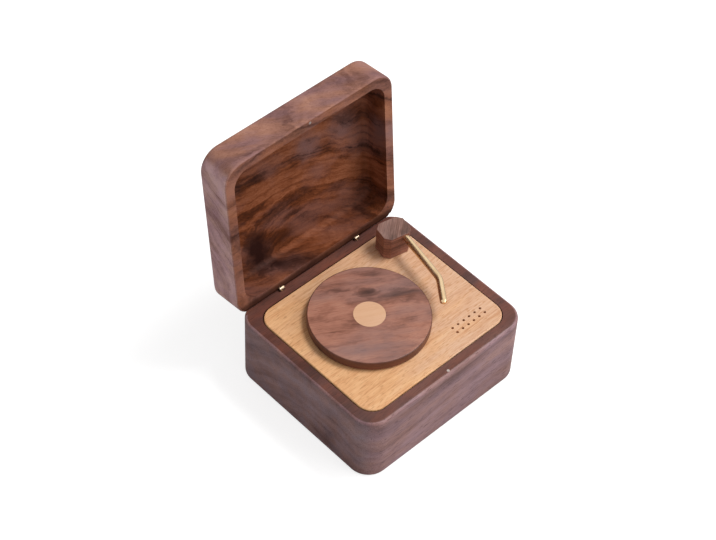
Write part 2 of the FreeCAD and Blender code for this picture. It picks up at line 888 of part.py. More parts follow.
def tooth(profile, root, module, shares, addendum, dedendum):
    """A tooth that points along the sketch's x axis, with its root sunk in the disc."""
    tip, middle, base = shares
    sunk = f"{root} - {module} / 4"
    pitch = f"{root} + {dedendum}"
    top = f"{pitch} + {addendum}"
    side = [(sunk, base), (root, base), (pitch, middle), (top, tip)]
    below = [(x, f"-{share} * {module}") for x, share in side]
    above = [(x, f"{share} * {module}") for x, share in reversed(side)]
    return outline(profile, below + above)


def spur_wheel(label, teeth, module, shares, width, bore, slant=None):
    """A toothed wheel about its body's X axis, centred on its mid-plane."""
    body = new_body(label)
    addendum, dedendum = f"0.8 * {module}", f"1.24 * {module}"
    root = f"({teeth} * {module} / 2 - {dedendum})"
    disc = sketch(body, "YZ_Plane")
    circle(disc, 0, 0, root)
    circle(disc, 0, 0, bore)
    pad(disc, width, both_ways=True)
    profile = tooth(sketch(body, "YZ_Plane"), root, module, shares, addendum, dedendum)
    raised = pad(profile, width, both_ways=True)
    if slant:
        raised.UseCustomVector = True
        raised.Direction = Vector(1, 0, math.tan(math.radians(slant)))
        raised.AlongSketchNormal = True
        doc.recompute()
    pattern(raised, "X_Axis", teeth)
    return body


def make_crown_wheel():
    """The face gear on the arbor, its teeth pointing down."""
    body = new_body("crown_wheel")
    disc = sketch(body, "XY_Plane", "crown_root")
    circle(disc, 0, 0, "crown_radius")
    circle(disc, 0, 0, "arbor_radius + seat_play")
    pad(disc, "crown_disc")
    profile = sketch(body, "YZ_Plane", "crown_pitch_radius - crown_face / 2")
    tip, middle, base = WHEEL_TOOTH
    side = [
        ("crown_root + crown_module / 4", base),
        ("crown_root", base),
        ("crown_root - crown_dedendum", middle),
        ("crown_root - crown_dedendum - crown_addendum", tip),
    ]
    left = [(f"-{share} * crown_module", z) for z, share in side]
    right = [(f"{share} * crown_module", z) for z, share in reversed(side)]
    outline(profile, left + right)
    pattern(pad(profile, "crown_face"), "Z_Axis", "crown_teeth")
    place(body, "spindle_x", "spindle_y", 0)


def make_ratchet():
    """The ratchet wheel on the arbor and the pawl under the crown wheel that it drives."""
    body = new_body("ratchet_wheel")
    low = "ratchet_top - ratchet_thickness"
    disc = sketch(body, "XY_Plane", low)
    circle(disc, 0, 0, "ratchet_radius - ratchet_depth")
    circle(disc, 0, 0, "arbor_radius + seat_play")
    pad(disc, "ratchet_thickness")
    saw = sketch(body, "XY_Plane", low)
    outline(
        saw,
        [
            ("ratchet_radius - 2 * ratchet_depth", 0),
            ("ratchet_radius", 0),
            (
                "(ratchet_radius - ratchet_depth) * cos(360 / ratchet_teeth)",
                "(ratchet_radius - ratchet_depth) * sin(360 / ratchet_teeth)",
            ),
        ],
    )
    pattern(pad(saw, "ratchet_thickness"), "Z_Axis", "ratchet_teeth")
    place(body, "spindle_x", "spindle_y", 0)

    heel = "spindle_x - pawl_heel"
    arm = box((heel, "spindle_y - pawl_width / 2", low),
              ("pawl_heel - pawl_tip", "pawl_width", "ratchet_thickness"))
    stud = cylinder((heel, "spindle_y", low), "pawl_width", "ratchet_thickness + ratchet_gap")
    keep("click_pawl", fuse(arm, stud))


def make_cylinder():
    """The pinned brass cylinder, its end caps, its shaft and the two wheels on it."""
    axis = ("spindle_y", "drum_z")
    tube = cylinder(("drum_x", *axis), "drum_radius", "drum_length", "x")
    room = cylinder(("drum_x", *axis), "drum_radius - drum_wall", "drum_length", "x")
    pins = doc.addObject("Part::Feature", "music_pins")
    pins.Shape = Part.makeCompound(music_pins())
    place(pins, "drum_x", *axis)
    keep("cylinder_drum", fuse(cut(tube, room), pins))

    caps = []
    for start in ("drum_x", "drum_end_x - cap_thickness"):
        disc = cylinder((start, *axis), "drum_radius - drum_wall - seat_play", "cap_thickness", "x")
        eye = cylinder((start, *axis), "shaft_radius + seat_play", "cap_thickness", "x")
        caps.append(cut(disc, eye))
    keep("drum_end_caps", group(*caps))
    start = "pinion_x - shaft_overhang"
    length = f"gear_x + gear_width + shaft_overhang - ({start})"
    keep("cylinder_shaft", cylinder((start, *axis), "shaft_radius", length, "x"))

    bore = "shaft_radius + seat_play"
    pinion = spur_wheel(
        "cylinder_pinion", "pinion_teeth", "crown_module", PINION_TOOTH, "pinion_width", bore
    )
    place(pinion, "pinion_x + pinion_width / 2", *axis, X_AXIS, "90 + 180 / pinion_teeth")
    gear = spur_wheel("cylinder_gear", "gear_teeth", "train_module", WHEEL_TOOTH, "gear_width", bore)
    place(gear, "gear_x + gear_width / 2", *axis)


def music_pins():
    """The cylinder's steel pins, in tracks that line up with the comb's tines."""
    chance = random.Random(PIN_SEED)
    sunk = value("drum_wall") / 2
    radius = value("music_pin_radius")
    length = value("music_pin_height") + sunk
    tracks = int(value("tine_count"))
    pitch = value("drum_length / tine_count")
    bars = []
    for track in range(tracks):
        x = (track + 0.5) * pitch
        for number in range(PINS_PER_TRACK):
            share = (number + PIN_SCATTER * chance.random()) / PINS_PER_TRACK
            turn = 2 * math.pi * share
            out = Vector(0, math.cos(turn), math.sin(turn))
            start = Vector(x, 0, 0) + out * (value("drum_radius") - sunk)
            bars.append(Part.makeCylinder(radius, length, start, out))
    return bars


def make_governor_train():
    """The idler with its worm wheel, and the governor's worm with its fan."""
    axis = ("idler_y", "drum_z")
    length = "outer_post_x + post_thickness - far_post_x"
    keep("idler_shaft", cylinder(("far_post_x", *axis), "idler_shaft_radius", length, "x"))
    bore = "idler_shaft_radius + seat_play"
    pinion = spur_wheel(
        "idler_pinion", "idler_teeth", "train_module", PINION_TOOTH, "idler_pinion_width", bore
    )
    place(pinion, "gear_x + gear_width / 2", *axis, X_AXIS, "180 / idler_teeth")
    lead = value("train_module / (2 * worm_radius)")
    wheel = spur_wheel(
        "worm_wheel", "worm_wheel_teeth", "train_module", WHEEL_TOOTH, "gear_width", bore,
        slant=math.degrees(math.atan(lead)),
    )
    place(wheel, "worm_wheel_x + gear_width / 2", *axis)
    make_worm()
    make_fan()


def make_worm():
    """The governor's steel shaft with its right-handed worm."""
    body = new_body("governor_worm")
    bottom = "bracket_top - bracket_thickness + bracket_blind + seat_play"
    shaft = sketch(body, "XY_Plane", bottom)
    circle(shaft, 0, 0, "worm_shaft_radius")
    pad(shaft, f"ledge - seat_play - ({bottom})")
    pitch = "(pi * train_module)"
    middle = f"(drum_z - worm_turns * {pitch} / 2)"
    tip, half, base = WORM_TOOTH
    root = "(worm_radius - 1.24 * train_module)"
    side = [
        (f"{root} - train_module / 5", base),
        (root, base),
        ("worm_radius", half),
        ("worm_radius + 0.8 * train_module", tip),
    ]
    below = [(x, f"{middle} - {share} * train_module") for x, share in side]
    above = [(x, f"{middle} + {share} * train_module") for x, share in reversed(side)]
    profile = outline(sketch(body, "XZ_Plane"), below + above)
    thread = body.newObject("PartDesign::AdditiveHelix", "thread")
    thread.Profile = profile
    thread.ReferenceAxis = (origin_part(body, "Z_Axis"), [""])
    thread.Mode = "pitch-turns-angle"
    bind(thread, Pitch=pitch, Turns="worm_turns")
    doc.recompute()
    place(body, "worm_x", "worm_y", 0)


def make_fan():
    """The butterfly fan that brakes the governor."""
    low = "fan_top - fan_height"
    blade = box(("worm_x - fan_radius", "worm_y - fan_thickness / 2", low),
                ("2 * fan_radius", "fan_thickness", "fan_height"))
    sleeve = cylinder(("worm_x", "worm_y", low), "fan_hub_radius", "fan_height")
    bore = cylinder(("worm_x", "worm_y", low), "worm_shaft_radius + seat_play", "fan_height")
    keep("governor_fan", cut(fuse(blade, sleeve), bore))


# ---------------------------------------------------------------- bedplate and comb


def hanging_post(body, left, right, front, back, bottom):
    """A post cast on the underside of the bedplate, down to a level."""
    profile = sketch(body, "XY_Plane", "bedplate_bottom")
    rectangle(profile, left, right, front, back)
    pad(profile, f"bedplate_bottom - ({bottom})", down=True)


def shaft_bore(body, y, radius):
    """A bearing bore along X through every post on one axis."""
    profile = sketch(body, "YZ_Plane")
    circle(profile, y, "drum_z", radius)
    pocket(profile, "2 * case_width", both_ways=True)


def make_bedplate():
    """The die-cast bedplate under the deck, with its bearing posts and comb seat."""
    body = new_body("bedplate")
    plate = sketch(body, "XY_Plane", "bedplate_bottom")
    edges = ("bedplate_left", "bedplate_right", "bedplate_front", "bedplate_back")
    pad(rectangle(plate, *edges), "bedplate_thickness")
    soften(body, "bedplate_round", upright(*edges, "bedplate_bottom", "ledge"))
    near_end = "near_post_x + post_thickness"
    far_end = "far_post_x + post_thickness"
    hanging_post(body, "near_post_x", near_end, "spindle_y - post_half", "spindle_y + post_half",
                 "drum_z - post_half")
    hanging_post(body, "far_post_x", far_end, "spindle_y - post_half",
                 "idler_y + idler_post_half", "bracket_top")
    hanging_post(body, "outer_post_x", "outer_post_x + post_thickness",
                 "idler_y - idler_post_half", "idler_y + idler_post_half", "drum_z - post_half")
    hanging_post(body, "drum_x", "drum_end_x", "comb_root_y", "comb_root_y + comb_seat_depth",
                 "comb_top")
    lug = sketch(body, "XY_Plane", "bracket_top")
    circle(lug, "lug_x", "idler_y", "lug_radius")
    pad(lug, "lug_height")

    shaft_bore(body, "spindle_y", "shaft_radius + running_play")
    shaft_bore(body, "idler_y", "idler_shaft_radius + running_play")
    bores = sketch(body, "XY_Plane", "ledge")
    circle(bores, "spindle_x", "spindle_y", "bush_radius + seat_play")
    circle(bores, "worm_x", "worm_y", "worm_shaft_radius + running_play")
    for x, y in plate_screw_places():
        circle(bores, x, y, "plate_screw_radius + running_play")
    pocket(bores, "bedplate_thickness")
    comb_holes = sketch(body, "XY_Plane", "comb_top")
    for x in comb_screw_places():
        circle(comb_holes, x, "comb_screw_y", "comb_screw_radius + seat_play")
    pocket(comb_holes, "comb_screw_grip", up=True)
    lug_hole = sketch(body, "XY_Plane", "bracket_top")
    circle(lug_hole, "lug_x", "idler_y", "bracket_screw_radius + seat_play")
    pocket(lug_hole, "lug_height - lug_blind", up=True)


def make_plate_screws():
    """The pan-headed screws that hold the bedplate to the deck."""
    screws = []
    for x, y in plate_screw_places():
        head = cylinder((x, y, "bedplate_bottom - plate_head_height"), "plate_head_radius",
                        "plate_head_height")
        length = "plate_head_height + bedplate_thickness + plate_screw_grip"
        shank = cylinder((x, y, "bedplate_bottom - plate_head_height"), "plate_screw_radius", length)
        screws.append(fuse(head, shank))
    keep("bedplate_screws", group(*screws))


def comb_screw_places():
    """Where the two comb screws stand along the comb."""
    return ("drum_x + comb_screw_inset", "drum_end_x - comb_screw_inset")


def make_comb():
    """The steel comb of tuned tines, and the screws that clamp it to its seat."""
    body = new_body("comb")
    blank = sketch(body, "XY_Plane", "comb_bottom")
    rectangle(blank, "drum_x", "drum_end_x", "comb_root_y", "comb_tip_y")
    pad(blank, "comb_thickness")
    slots = sketch(body, "XY_Plane", "comb_top")
    for number in range(1, int(value("tine_count"))):
        middle = f"drum_x + {number} * drum_length / tine_count"
        rectangle(slots, f"{middle} - tine_gap / 2", f"{middle} + tine_gap / 2",
                  "comb_tip_y - tine_length", "comb_tip_y + overcut")
    pocket(slots, "comb_thickness")
    holes = sketch(body, "XY_Plane", "comb_top")
    for x in comb_screw_places():
        circle(holes, x, "comb_screw_y", "comb_screw_radius + running_play")
    pocket(holes, "comb_thickness")

    screws = []
    for x in comb_screw_places():
        start = (x, "comb_screw_y", "comb_bottom - comb_head_height")
        head = cylinder(start, "comb_head_radius", "comb_head_height")
        length = "comb_head_height + comb_thickness + comb_screw_grip"
        screws.append(fuse(head, cylinder(start, "comb_screw_radius", length)))
    keep("comb_screws", group(*screws))


def make_bracket():
    """The bracket that carries the foot of the governor's worm, and its screw."""
    low = "bracket_top - bracket_thickness"
    run_x, run_y = "(worm_x - lug_x)", "(worm_y - idler_y)"
    reach = f"sqrt({run_x} ^ 2 + {run_y} ^ 2)"
    bar = bind(doc.addObject("Part::Box", "bar"), Length=reach, Width="2 * bracket_half",
               Height="bracket_thickness")
    heading = f"atan({run_y} / {run_x})"
    place(bar, f"lug_x + bracket_half * sin({heading})", f"idler_y - bracket_half * cos({heading})",
          low, Z_AXIS, heading)
    ends = [
        cylinder(("lug_x", "idler_y", low), "bracket_half", "bracket_thickness"),
        cylinder(("worm_x", "worm_y", low), "bracket_half", "bracket_thickness"),
    ]
    screw_hole = cylinder(
        ("lug_x", "idler_y", low), "bracket_screw_radius + running_play", "bracket_thickness"
    )
    foot_hole = cylinder(("worm_x", "worm_y", f"{low} + bracket_blind"),
                         "worm_shaft_radius + running_play", "bracket_thickness")
    keep("governor_bracket", cut(fuse(bar, *ends), screw_hole, foot_hole))

    start = ("lug_x", "idler_y", f"{low} - bracket_head_height")
    head = cylinder(start, "bracket_head_radius", "bracket_head_height")
    length = "bracket_head_height + bracket_thickness + lug_height - lug_blind - screw_tip_gap"
    keep("bracket_screw", fuse(head, cylinder(start, "bracket_screw_radius", length)))


# ---------------------------------------------------------------- tonearm


def at_pivot(item):
    """Turn a piece that is drawn about the Z axis to the arm's resting place."""
    place(item, "pivot_x", "pivot_y", 0, Z_AXIS, "-arm_turn")


def make_arm_post():
    """The walnut post that turns with the tonearm, its upright corners cut off."""
    body = new_body("arm_post")
    profile = sketch(body, "XY_Plane", "post_bottom")
    wide, deep, corner = "arm_post_width / 2", "arm_post_depth / 2", "arm_post_chamfer"
    outline(
        profile,
        [
            (f"-{wide} + {corner}", f"-{deep}"),
            (f"{wide} - {corner}", f"-{deep}"),
            (wide, f"-{deep} + {corner}"),
            (wide, f"{deep} - {corner}"),
            (f"{wide} - {corner}", deep),
            (f"-{wide} + {corner}", deep),
            (f"-{wide}", f"{deep} - {corner}"),
            (f"-{wide}", f"-{deep} + {corner}"),
        ],
    )
    pad(profile, "arm_post_height - arm_post_gap")
    soften(body, "arm_post_edge", at_level("deck_top + arm_post_height"))
    below = sketch(body, "XY_Plane", "post_bottom")
    circle(below, 0, 0, "pivot_radius + seat_play")
    pocket(below, "pivot_seat", up=True)
    socket = sketch(body, "XZ_Plane", f"{deep} - rod_seat")
    circle(socket, "rod_offset", "rod_z", "rod_radius + seat_play")
    pocket(socket, "rod_seat", up=True)
    at_pivot(body)


def make_tonearm():
    """The bent brass rod: a straight run, a bend and a shorter run with an eased tip."""
    tangent = "rod_bend_radius * tan(rod_bend / 2)"
    start_y = "rod_seat - arm_post_depth / 2"
    length = f"rod_reach - {tangent} + {start_y}"
    first = cylinder(("rod_offset", start_y, "rod_z"), "rod_radius", length, "-y")
    centre_x, centre_y = "(rod_offset - rod_bend_radius)", f"({tangent} - rod_reach)"
    bend = bind(
        doc.addObject("Part::Torus", "bend"), Radius1="rod_bend_radius", Radius2="rod_radius",
        Angle3="rod_bend",
    )
    place(bend, centre_x, centre_y, "rod_z", Z_AXIS, "-rod_bend")

    end_x = f"{centre_x} + rod_bend_radius * cos(rod_bend)"
    end_y = f"{centre_y} - rod_bend_radius * sin(rod_bend)"
    run = f"rod_tip_length - {tangent} - rod_tip_round"
    second = cylinder((0, 0, 0), "rod_radius", run)
    tip = cone((0, 0, run), "rod_radius", "rod_radius - rod_tip_round", "rod_tip_round")
    last = group(place(fuse(second, tip), 0, 0, 0, *RUNS["-y"]))
    place(last, end_x, end_y, "rod_z", Z_AXIS, "-rod_bend")
    at_pivot(keep("tonearm_rod", fuse(first, bend, last)))


def make_arm_pivot():
    """The pivot pin with its collar, bush, washer and nut."""
    pin = cylinder((0, 0, "lever_bottom - nut_height"), "pivot_radius",
                   "post_bottom + pivot_seat - seat_play - lever_bottom + nut_height")
    thrust = cylinder((0, 0, "deck_top + running_play"), "pivot_collar_radius",
                      "arm_post_gap - running_play")
    at_pivot(keep("arm_pivot_pin", fuse(pin, thrust)))

    sleeve = cylinder(("pivot_x", "pivot_y", "ledge"), "pivot_bush_radius", "deck_thickness")
    bore = cylinder(("pivot_x", "pivot_y", "ledge"), "pivot_radius + running_play", "deck_thickness")
    keep("pivot_bush", cut(sleeve, bore))

    low = "washer_top - washer_thickness"
    disc = cylinder((0, 0, low), "washer_radius", "washer_thickness")
    eye = cylinder((0, 0, low), "pivot_radius + seat_play", "washer_thickness")
    at_pivot(keep("pivot_washer", cut(disc, eye)))

    hexagon = doc.addObject("Part::Prism", "hexagon")
    hexagon.Polygon = 6
    bind(hexagon, Circumradius="nut_radius", Height="nut_height")
    place(hexagon, 0, 0, "lever_bottom - nut_height")
    thread = cylinder((0, 0, "lever_bottom - nut_height"), "pivot_radius + seat_play", "nut_height")
    at_pivot(keep("pivot_nut", cut(hexagon, thread)))


def make_stop_lever():
    """The lever under the deck whose finger the arm swings beside the governor's fan."""
    sleeve = cylinder((0, 0, "lever_bottom"), "lever_sleeve_radius", "lever_sleeve_length")
    arm = box((0, "-lever_width / 2", "lever_bottom"),
              ("lever_length", "lever_width", "lever_thickness"))
    finger = box(("lever_length - lever_thickness", "-lever_width / 2", "lever_bottom - lever_finger"),
                 ("lever_thickness", "lever_width", "lever_finger"))
    bore = cylinder((0, 0, "lever_bottom"), "pivot_radius + seat_play", "lever_sleeve_length")
    lever = keep("stop_lever", cut(fuse(sleeve, arm, finger), bore))
    heading = "atan((worm_y - pivot_y) / (worm_x - pivot_x))"
    place(lever, "pivot_x", "pivot_y", 0, Z_AXIS, heading)


# ---------------------------------------------------------------- check and export


def check_document():
    """Stop if any object failed to build."""
    for item in doc.Objects:
        bad = {"Invalid", "Error"} & set(item.State)
        assert not bad, f"{item.Label} ({item.Name}) is {item.State}"
    for label, item in pieces.items():
        shape = item.Shape
        assert not shape.isNull(), f"{label} is empty"
        assert shape.isValid(), f"{label} is not a valid shape"
        assert shape.Solids, f"{label} holds no solid"


def export_pieces():
    """Write each piece to a file of its own."""
    os.makedirs("parts", exist_ok=True)
    for label, item in pieces.items():
        item.Shape.exportStep(f"parts/{label}.step")
        print(f"{label}: {len(item.Shape.Solids)} solid(s), {item.Shape.Volume:.2f} mm3")


def main():
    """Build the box from its case to its tonearm, check it and write it out."""
    fill_sheet()
    make_base()
    make_deck()
    make_lid()
    make_magnets()
    make_hinge("-", "left")
    make_hinge("", "right")
    make_platter()
    make_hub()
    make_arbor()
    make_spring_motor()
    make_crown_wheel()
    make_ratchet()
    make_cylinder()
    make_governor_train()
    make_bedplate()
    make_plate_screws()
    make_comb()
    make_bracket()
    make_arm_post()
    make_tonearm()
    make_arm_pivot()
    make_stop_lever()
    doc.recompute()
    check_document()
    export_pieces()


main()
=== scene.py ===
"""The looks of a small walnut music box with a beech deck, a platter and a brass tonearm.

The box is dressed by one class for each sub-assembly: the case, the lid, the turntable,
the tonearm and the movement under the deck.  Each class holds its own sizes and
finishes.  Lengths are millimetres until they are handed to Blender, which works in
metres.
"""

import json
import logging
import math
from dataclasses import dataclass, replace
from enum import Enum
from typing import Any, Iterable, Sequence

import bpy
from mathutils import Euler, Matrix, Vector


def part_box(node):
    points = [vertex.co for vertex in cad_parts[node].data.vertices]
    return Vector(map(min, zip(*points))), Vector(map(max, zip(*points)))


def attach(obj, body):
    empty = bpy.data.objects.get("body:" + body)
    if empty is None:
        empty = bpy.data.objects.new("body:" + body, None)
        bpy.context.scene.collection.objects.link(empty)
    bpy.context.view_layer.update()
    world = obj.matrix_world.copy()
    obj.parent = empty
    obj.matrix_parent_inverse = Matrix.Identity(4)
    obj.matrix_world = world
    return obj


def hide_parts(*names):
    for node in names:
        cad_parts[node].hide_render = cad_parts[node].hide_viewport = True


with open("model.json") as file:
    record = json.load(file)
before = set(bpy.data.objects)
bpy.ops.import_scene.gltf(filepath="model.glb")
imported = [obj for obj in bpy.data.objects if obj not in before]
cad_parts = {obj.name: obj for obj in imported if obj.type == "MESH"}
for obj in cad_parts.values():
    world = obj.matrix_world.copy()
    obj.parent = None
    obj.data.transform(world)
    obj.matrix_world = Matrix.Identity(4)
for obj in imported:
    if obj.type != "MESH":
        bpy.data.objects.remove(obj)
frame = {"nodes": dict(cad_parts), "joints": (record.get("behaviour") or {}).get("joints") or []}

LOG = logging.getLogger("music_box")
MM = 0.001
PICTURE_WIDTH = 716

Triple = tuple[float, float, float]
Stops = Sequence[tuple[float, str]]
Tree = bpy.types.NodeTree
Socket = bpy.types.NodeSocket
Material = bpy.types.Material

COORDINATES = "ShaderNodeTexCoord"
MATH = "ShaderNodeMath"
VECTOR_MATH = "ShaderNodeVectorMath"
NOISE = "ShaderNodeTexNoise"
RAMP = "ShaderNodeValToRGB"
MIX = "ShaderNodeMix"
RANGE = "ShaderNodeMapRange"
MAPPING = "ShaderNodeMapping"
BUMP = "ShaderNodeBump"
SPLIT = "ShaderNodeSeparateXYZ"
JOIN = "ShaderNodeCombineXYZ"
CONE = "GeometryNodeMeshCone"
CYLINDER = "GeometryNodeMeshCylinder"
BOOLEAN = "GeometryNodeMeshBoolean"

# How a Mix node blends two colours, and the numbers of its sockets.
LAID = {"data_type": "RGBA"}
MULTIPLIED = {"data_type": "RGBA", "blend_type": "MULTIPLY"}
SHARE, UNDER, OVER, BLEND = 0, 6, 7, 2


# ------------------------------------------------------------------ small helpers


def linear(colour: str) -> tuple[float, float, float, float]:
    """Turn an sRGB hex colour into the linear values that shaders take.

    Args:
        colour: A colour such as "#a0724f".

    Returns:
        Linear red, green and blue, and an alpha of one.
    """
    shares = [int(colour[start : start + 2], 16) / 255 for start in (1, 3, 5)]
    red, green, blue = (
        share / 12.92 if share <= 0.04045 else ((share + 0.055) / 1.055) ** 2.4
        for share in shares
    )
    return red, green, blue, 1.0


def add(
    tree: Tree,
    kind: str,
    inputs: dict[Any, Any] | None = None,
    stops: Stops = (),
    **settings: Any,
) -> Any:
    """Add a node with its settings and links.

    Args:
        tree: The node tree that takes the node.
        kind: The node's type.
        inputs: For each input's name or number, a constant, a hex colour or the socket that
            is linked to it.
        stops: A colour ramp's places with their hex colours, from low to high.
        **settings: The node's own properties.

    Returns:
        The new node.
    """
    made = tree.nodes.new(kind)
    for name, setting in settings.items():
        setattr(made, name, setting)
    for key, given in (inputs or {}).items():
        if isinstance(given, Socket):
            tree.links.new(given, made.inputs[key])
        else:
            made.inputs[key].default_value = linear(given) if isinstance(given, str) else given
    if stops:
        elements = made.color_ramp.elements
        elements.remove(elements[1])
        elements[0].position, elements[0].color = stops[0][0], linear(stops[0][1])
        for place, colour in stops[1:]:
            elements.new(place).color = linear(colour)
    return made


def weigh(tree: Tree, parts: Iterable[tuple[Socket, float]], start: Any) -> Any:
    """Add up factors, each times its weight.

    Args:
        tree: The material's tree.
        parts: Each factor with its weight.
        start: What the sum starts from, a number or a socket.

    Returns:
        The sum, or the start itself where there are no factors.
    """
    total = start
    for factor, weight in parts:
        share = {0: factor, 1: weight, 2: total}
        total = add(tree, MATH, share, operation="MULTIPLY_ADD").outputs[0]
    return total


def new_material(name: str) -> tuple[Material, Tree, Any]:
    """Start a material.

    Args:
        name: What the material is.

    Returns:
        The material, its tree and its principled shader, joined to the output.
    """
    material = bpy.data.materials.new(name)
    material.use_nodes = True
    tree = material.node_tree
    tree.nodes.clear()
    shader = add(tree, "ShaderNodeBsdfPrincipled")
    add(tree, "ShaderNodeOutputMaterial", {"Surface": shader.outputs[0]})
    return material, tree, shader


def dress(material: Material, *nodes: str) -> None:
    """Give CAD nodes one material in all their slots, and report each of them.

    Args:
        material: The finish.
        *nodes: The names of the nodes.
    """
    for node in nodes:
        piece = frame["nodes"][node]
        piece.data.materials.clear()
        piece.data.materials.append(material)
        LOG.info("%s: %s", node, material.name)


def crown(node: str) -> Vector:
    """The middle of the top of a CAD node's box, in millimetres."""
    low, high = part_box(node)
    return Vector(((low.x + high.x) / 2, (low.y + high.y) / 2, high.z)) / MM


# ------------------------------------------------------------------ wood


class Pattern(Enum):
    """A noise in wood: its patch along, across and through the board, and its detail.

    The sizes are millimetres.  Streaks, fibres, pores and flecks are drawn coarser than
    real ones, so that they show.
    """

    RING_FADE = (60.0, 12.0, 12.0, 1.0)
    RING_EDGE = (6.0, 3.0, 3.0, 2.0)
    STREAK = (13.0, 13.0, 1.5, 3.0)
    FIBRE = (15.0, 0.7, 0.7, 3.0)
    PORE = (4.0, 0.25, 0.25, 0.0)
    CLOUD = (34.0, 14.0, 14.0, 3.0)
    HEARTWOOD = (50.0, 13.0, 13.0, 3.0)
    # The next pattern gives the patches of the faces' painted sheen, painted light and rim tone.
    PAINTED_LIGHT_PATCH = (20.0, 7.0, 7.0, 2.0)
    BEECH_DRIFT = (38.0, 9.0, 9.0, 3.0)
    BEECH_BAND = (18.0, 1.6, 1.6, 3.0)
    BEECH_FIBRE = (9.0, 0.55, 0.55, 3.0)
    BEECH_FLECK = (2.6, 0.45, 0.45, 0.0)

    def draw(self, tree: Tree, place: Socket) -> Socket:
        """Draw the pattern.

        Args:
            tree: The material's tree.
            place: The board's coordinates, in millimetres.

        Returns:
            A factor about one half.
        """
        *lengths, detail = self.value
        rates = {0: place, 1: tuple(1 / length for length in lengths)}
        drawn = add(tree, VECTOR_MATH, rates, operation="MULTIPLY").outputs[0]
        noise = {"Vector": drawn, "Scale": 1.0, "Detail": detail, "Roughness": 0.55}
        return add(tree, NOISE, noise).outputs[0]


@dataclass(frozen=True)
class Board:
    """How a piece lies in the log that it was cut from.

    The board's own axes are x along the grain, y across it and z through the board.

    Attributes:
        centre: A point at the level of the piece's rim or top, in millimetres.
        turn: The turn about X, Y and Z, in degrees, that lays the piece into the board.
        pith: A point of the log's heart, in the frame, in millimetres.
        reach: Half the width of the piece, in millimetres.
        seed: A shift along the board's axes, in millimetres, that picks a stretch of wood.
    """

    centre: Vector
    turn: Triple
    pith: Triple
    reach: float
    seed: Triple = (0.0, 0.0, 0.0)

    def laid(self, point: Triple) -> Vector:
        """Lay a point into the board.

        Args:
            point: A point of the frame, in millimetres.

        Returns:
            The same point on the board's axes.
        """
        turned = Vector(point) - self.centre
        turned.rotate(Euler([math.radians(angle) for angle in self.turn]))
        return turned

    def coordinates(self, tree: Tree) -> Socket:
        """Measure places along the board's axes.

        Args:
            tree: The material's tree.

        Returns:
            The coordinates, in millimetres.
        """
        own = add(tree, COORDINATES).outputs["Object"]
        centred = {0: own, 1: -MM * self.centre}
        centred = add(tree, VECTOR_MATH, centred, operation="ADD").outputs[0]
        turn = tuple(math.radians(angle) for angle in self.turn)
        laid = {"Vector": centred, "Rotation": turn, "Scale": (1 / MM,) * 3}
        return add(tree, MAPPING, laid).outputs[0]

    def facing(self, tree: Tree) -> Socket:
        """Tell how the surface faces.

        Args:
            tree: The material's tree.

        Returns:
            About one on outward faces, nought on the rim and less than nought on inward
            faces.
        """
        source = add(tree, COORDINATES).outputs
        out = {0: source["Object"], 1: -MM * self.centre}
        out = add(tree, VECTOR_MATH, out, operation="ADD").outputs[0]
        out = {0: out, 1: (1 / (MM * self.reach),) * 3}
        out = add(tree, VECTOR_MATH, out, operation="MULTIPLY").outputs[0]
        dot = {0: out, 1: source["Normal"]}
        return add(tree, VECTOR_MATH, dot, operation="DOT_PRODUCT").outputs["Value"]


@dataclass(frozen=True)
class Knot:
    """A place where the grain swells round a branch or a burl, darker or paler than the rest. Two
    knots of the lid are painted shade instead.

    Attributes:
        centre: Its middle in the frame, in millimetres.
        size: Its half length, half width and half depth along the board, in millimetres.
        lift: How many rings it pushes aside.
        shade: The share of the wood's lightness that it takes, or less than nought where it
            is paler.
        cast: How far its colour drifts to purple-grey, from 0 to 1.
    """

    centre: Triple
    size: Triple
    lift: float
    shade: float
    cast: float = 0.0


@dataclass(frozen=True)
class Tones:
    """The hex colours of a piece of walnut, from its darkest streak to its lightest wood, and the
    painted light and shade of its faces.

    Attributes:
        dark: The darkest streaks.
        deep: The late wood.
        body: Most of the wood.
        light: The palest wood.
        cast: The purple-grey that parts of the heartwood drift to.
        outer: What the outward faces tend to; on the base and the lid, a painted sheen, the pale
            reflection of the white room in the lacquer.
        outer_warm: What their browner patches tend to.
        outer_share: How far the outward faces go, from 0 to 1.
        cast_share: How far the drift to purple-grey goes, from 0 to 1.
        end: What the left end of the board tends to: painted light on the faces that look left,
            which the lamps leave dim.
        end_warm: What its browner patches tend to.
        end_share: How far the left end goes, from 0 to 1.
        rim: What the rim tends to: a painted tone for how the rim is lit, apart from the sides'
            sheen; darker on the base, a pale pink highlight on the lid.
        rim_warm: What its browner patches tend to.
        rim_share: How far the rim goes there, from 0 to 1.
        foot: Painted shade: what the rim tends to beside the hinges, where the open lid meets the
            base.
        foot_share: How far the rim goes there, from 0 to 1.
        inner: What the inward faces are multiplied by: painted shade in the hollows.
    """

    dark: str
    deep: str
    body: str
    light: str
    cast: str
    outer: str
    outer_warm: str
    outer_share: float
    cast_share: float = 0.4
    end: str = "#8f7072"
    end_warm: str = "#8f7072"
    end_share: float = 0.0
    rim: str = "#5a3d38"
    rim_warm: str = "#744030"
    rim_share: float = 0.0
    foot: str = "#32170d"
    foot_share: float = 0.0
    inner: str = "#ffffff"


# How many broad bands go by in one growth ring, and how light a ring is across its width.
BANDS_PER_RING = 0.42
RING_LINE = (
    (0.0, "#8c8c8c"),
    (0.15, "#c8c8c8"),
    (0.72, "#a8a8a8"),
    (0.93, "#383838"),
    (1.0, "#8c8c8c"),
)

# The tone of plain wood, and the mean values of the ring line and of noise.
PLAIN_TONE, LINE_MEAN, NOISE_MEAN = 0.52, 0.36, 0.5

# The tones at which the four main colours stand.
TONE_STEPS = (0.06, 0.34, 0.56, 0.86)

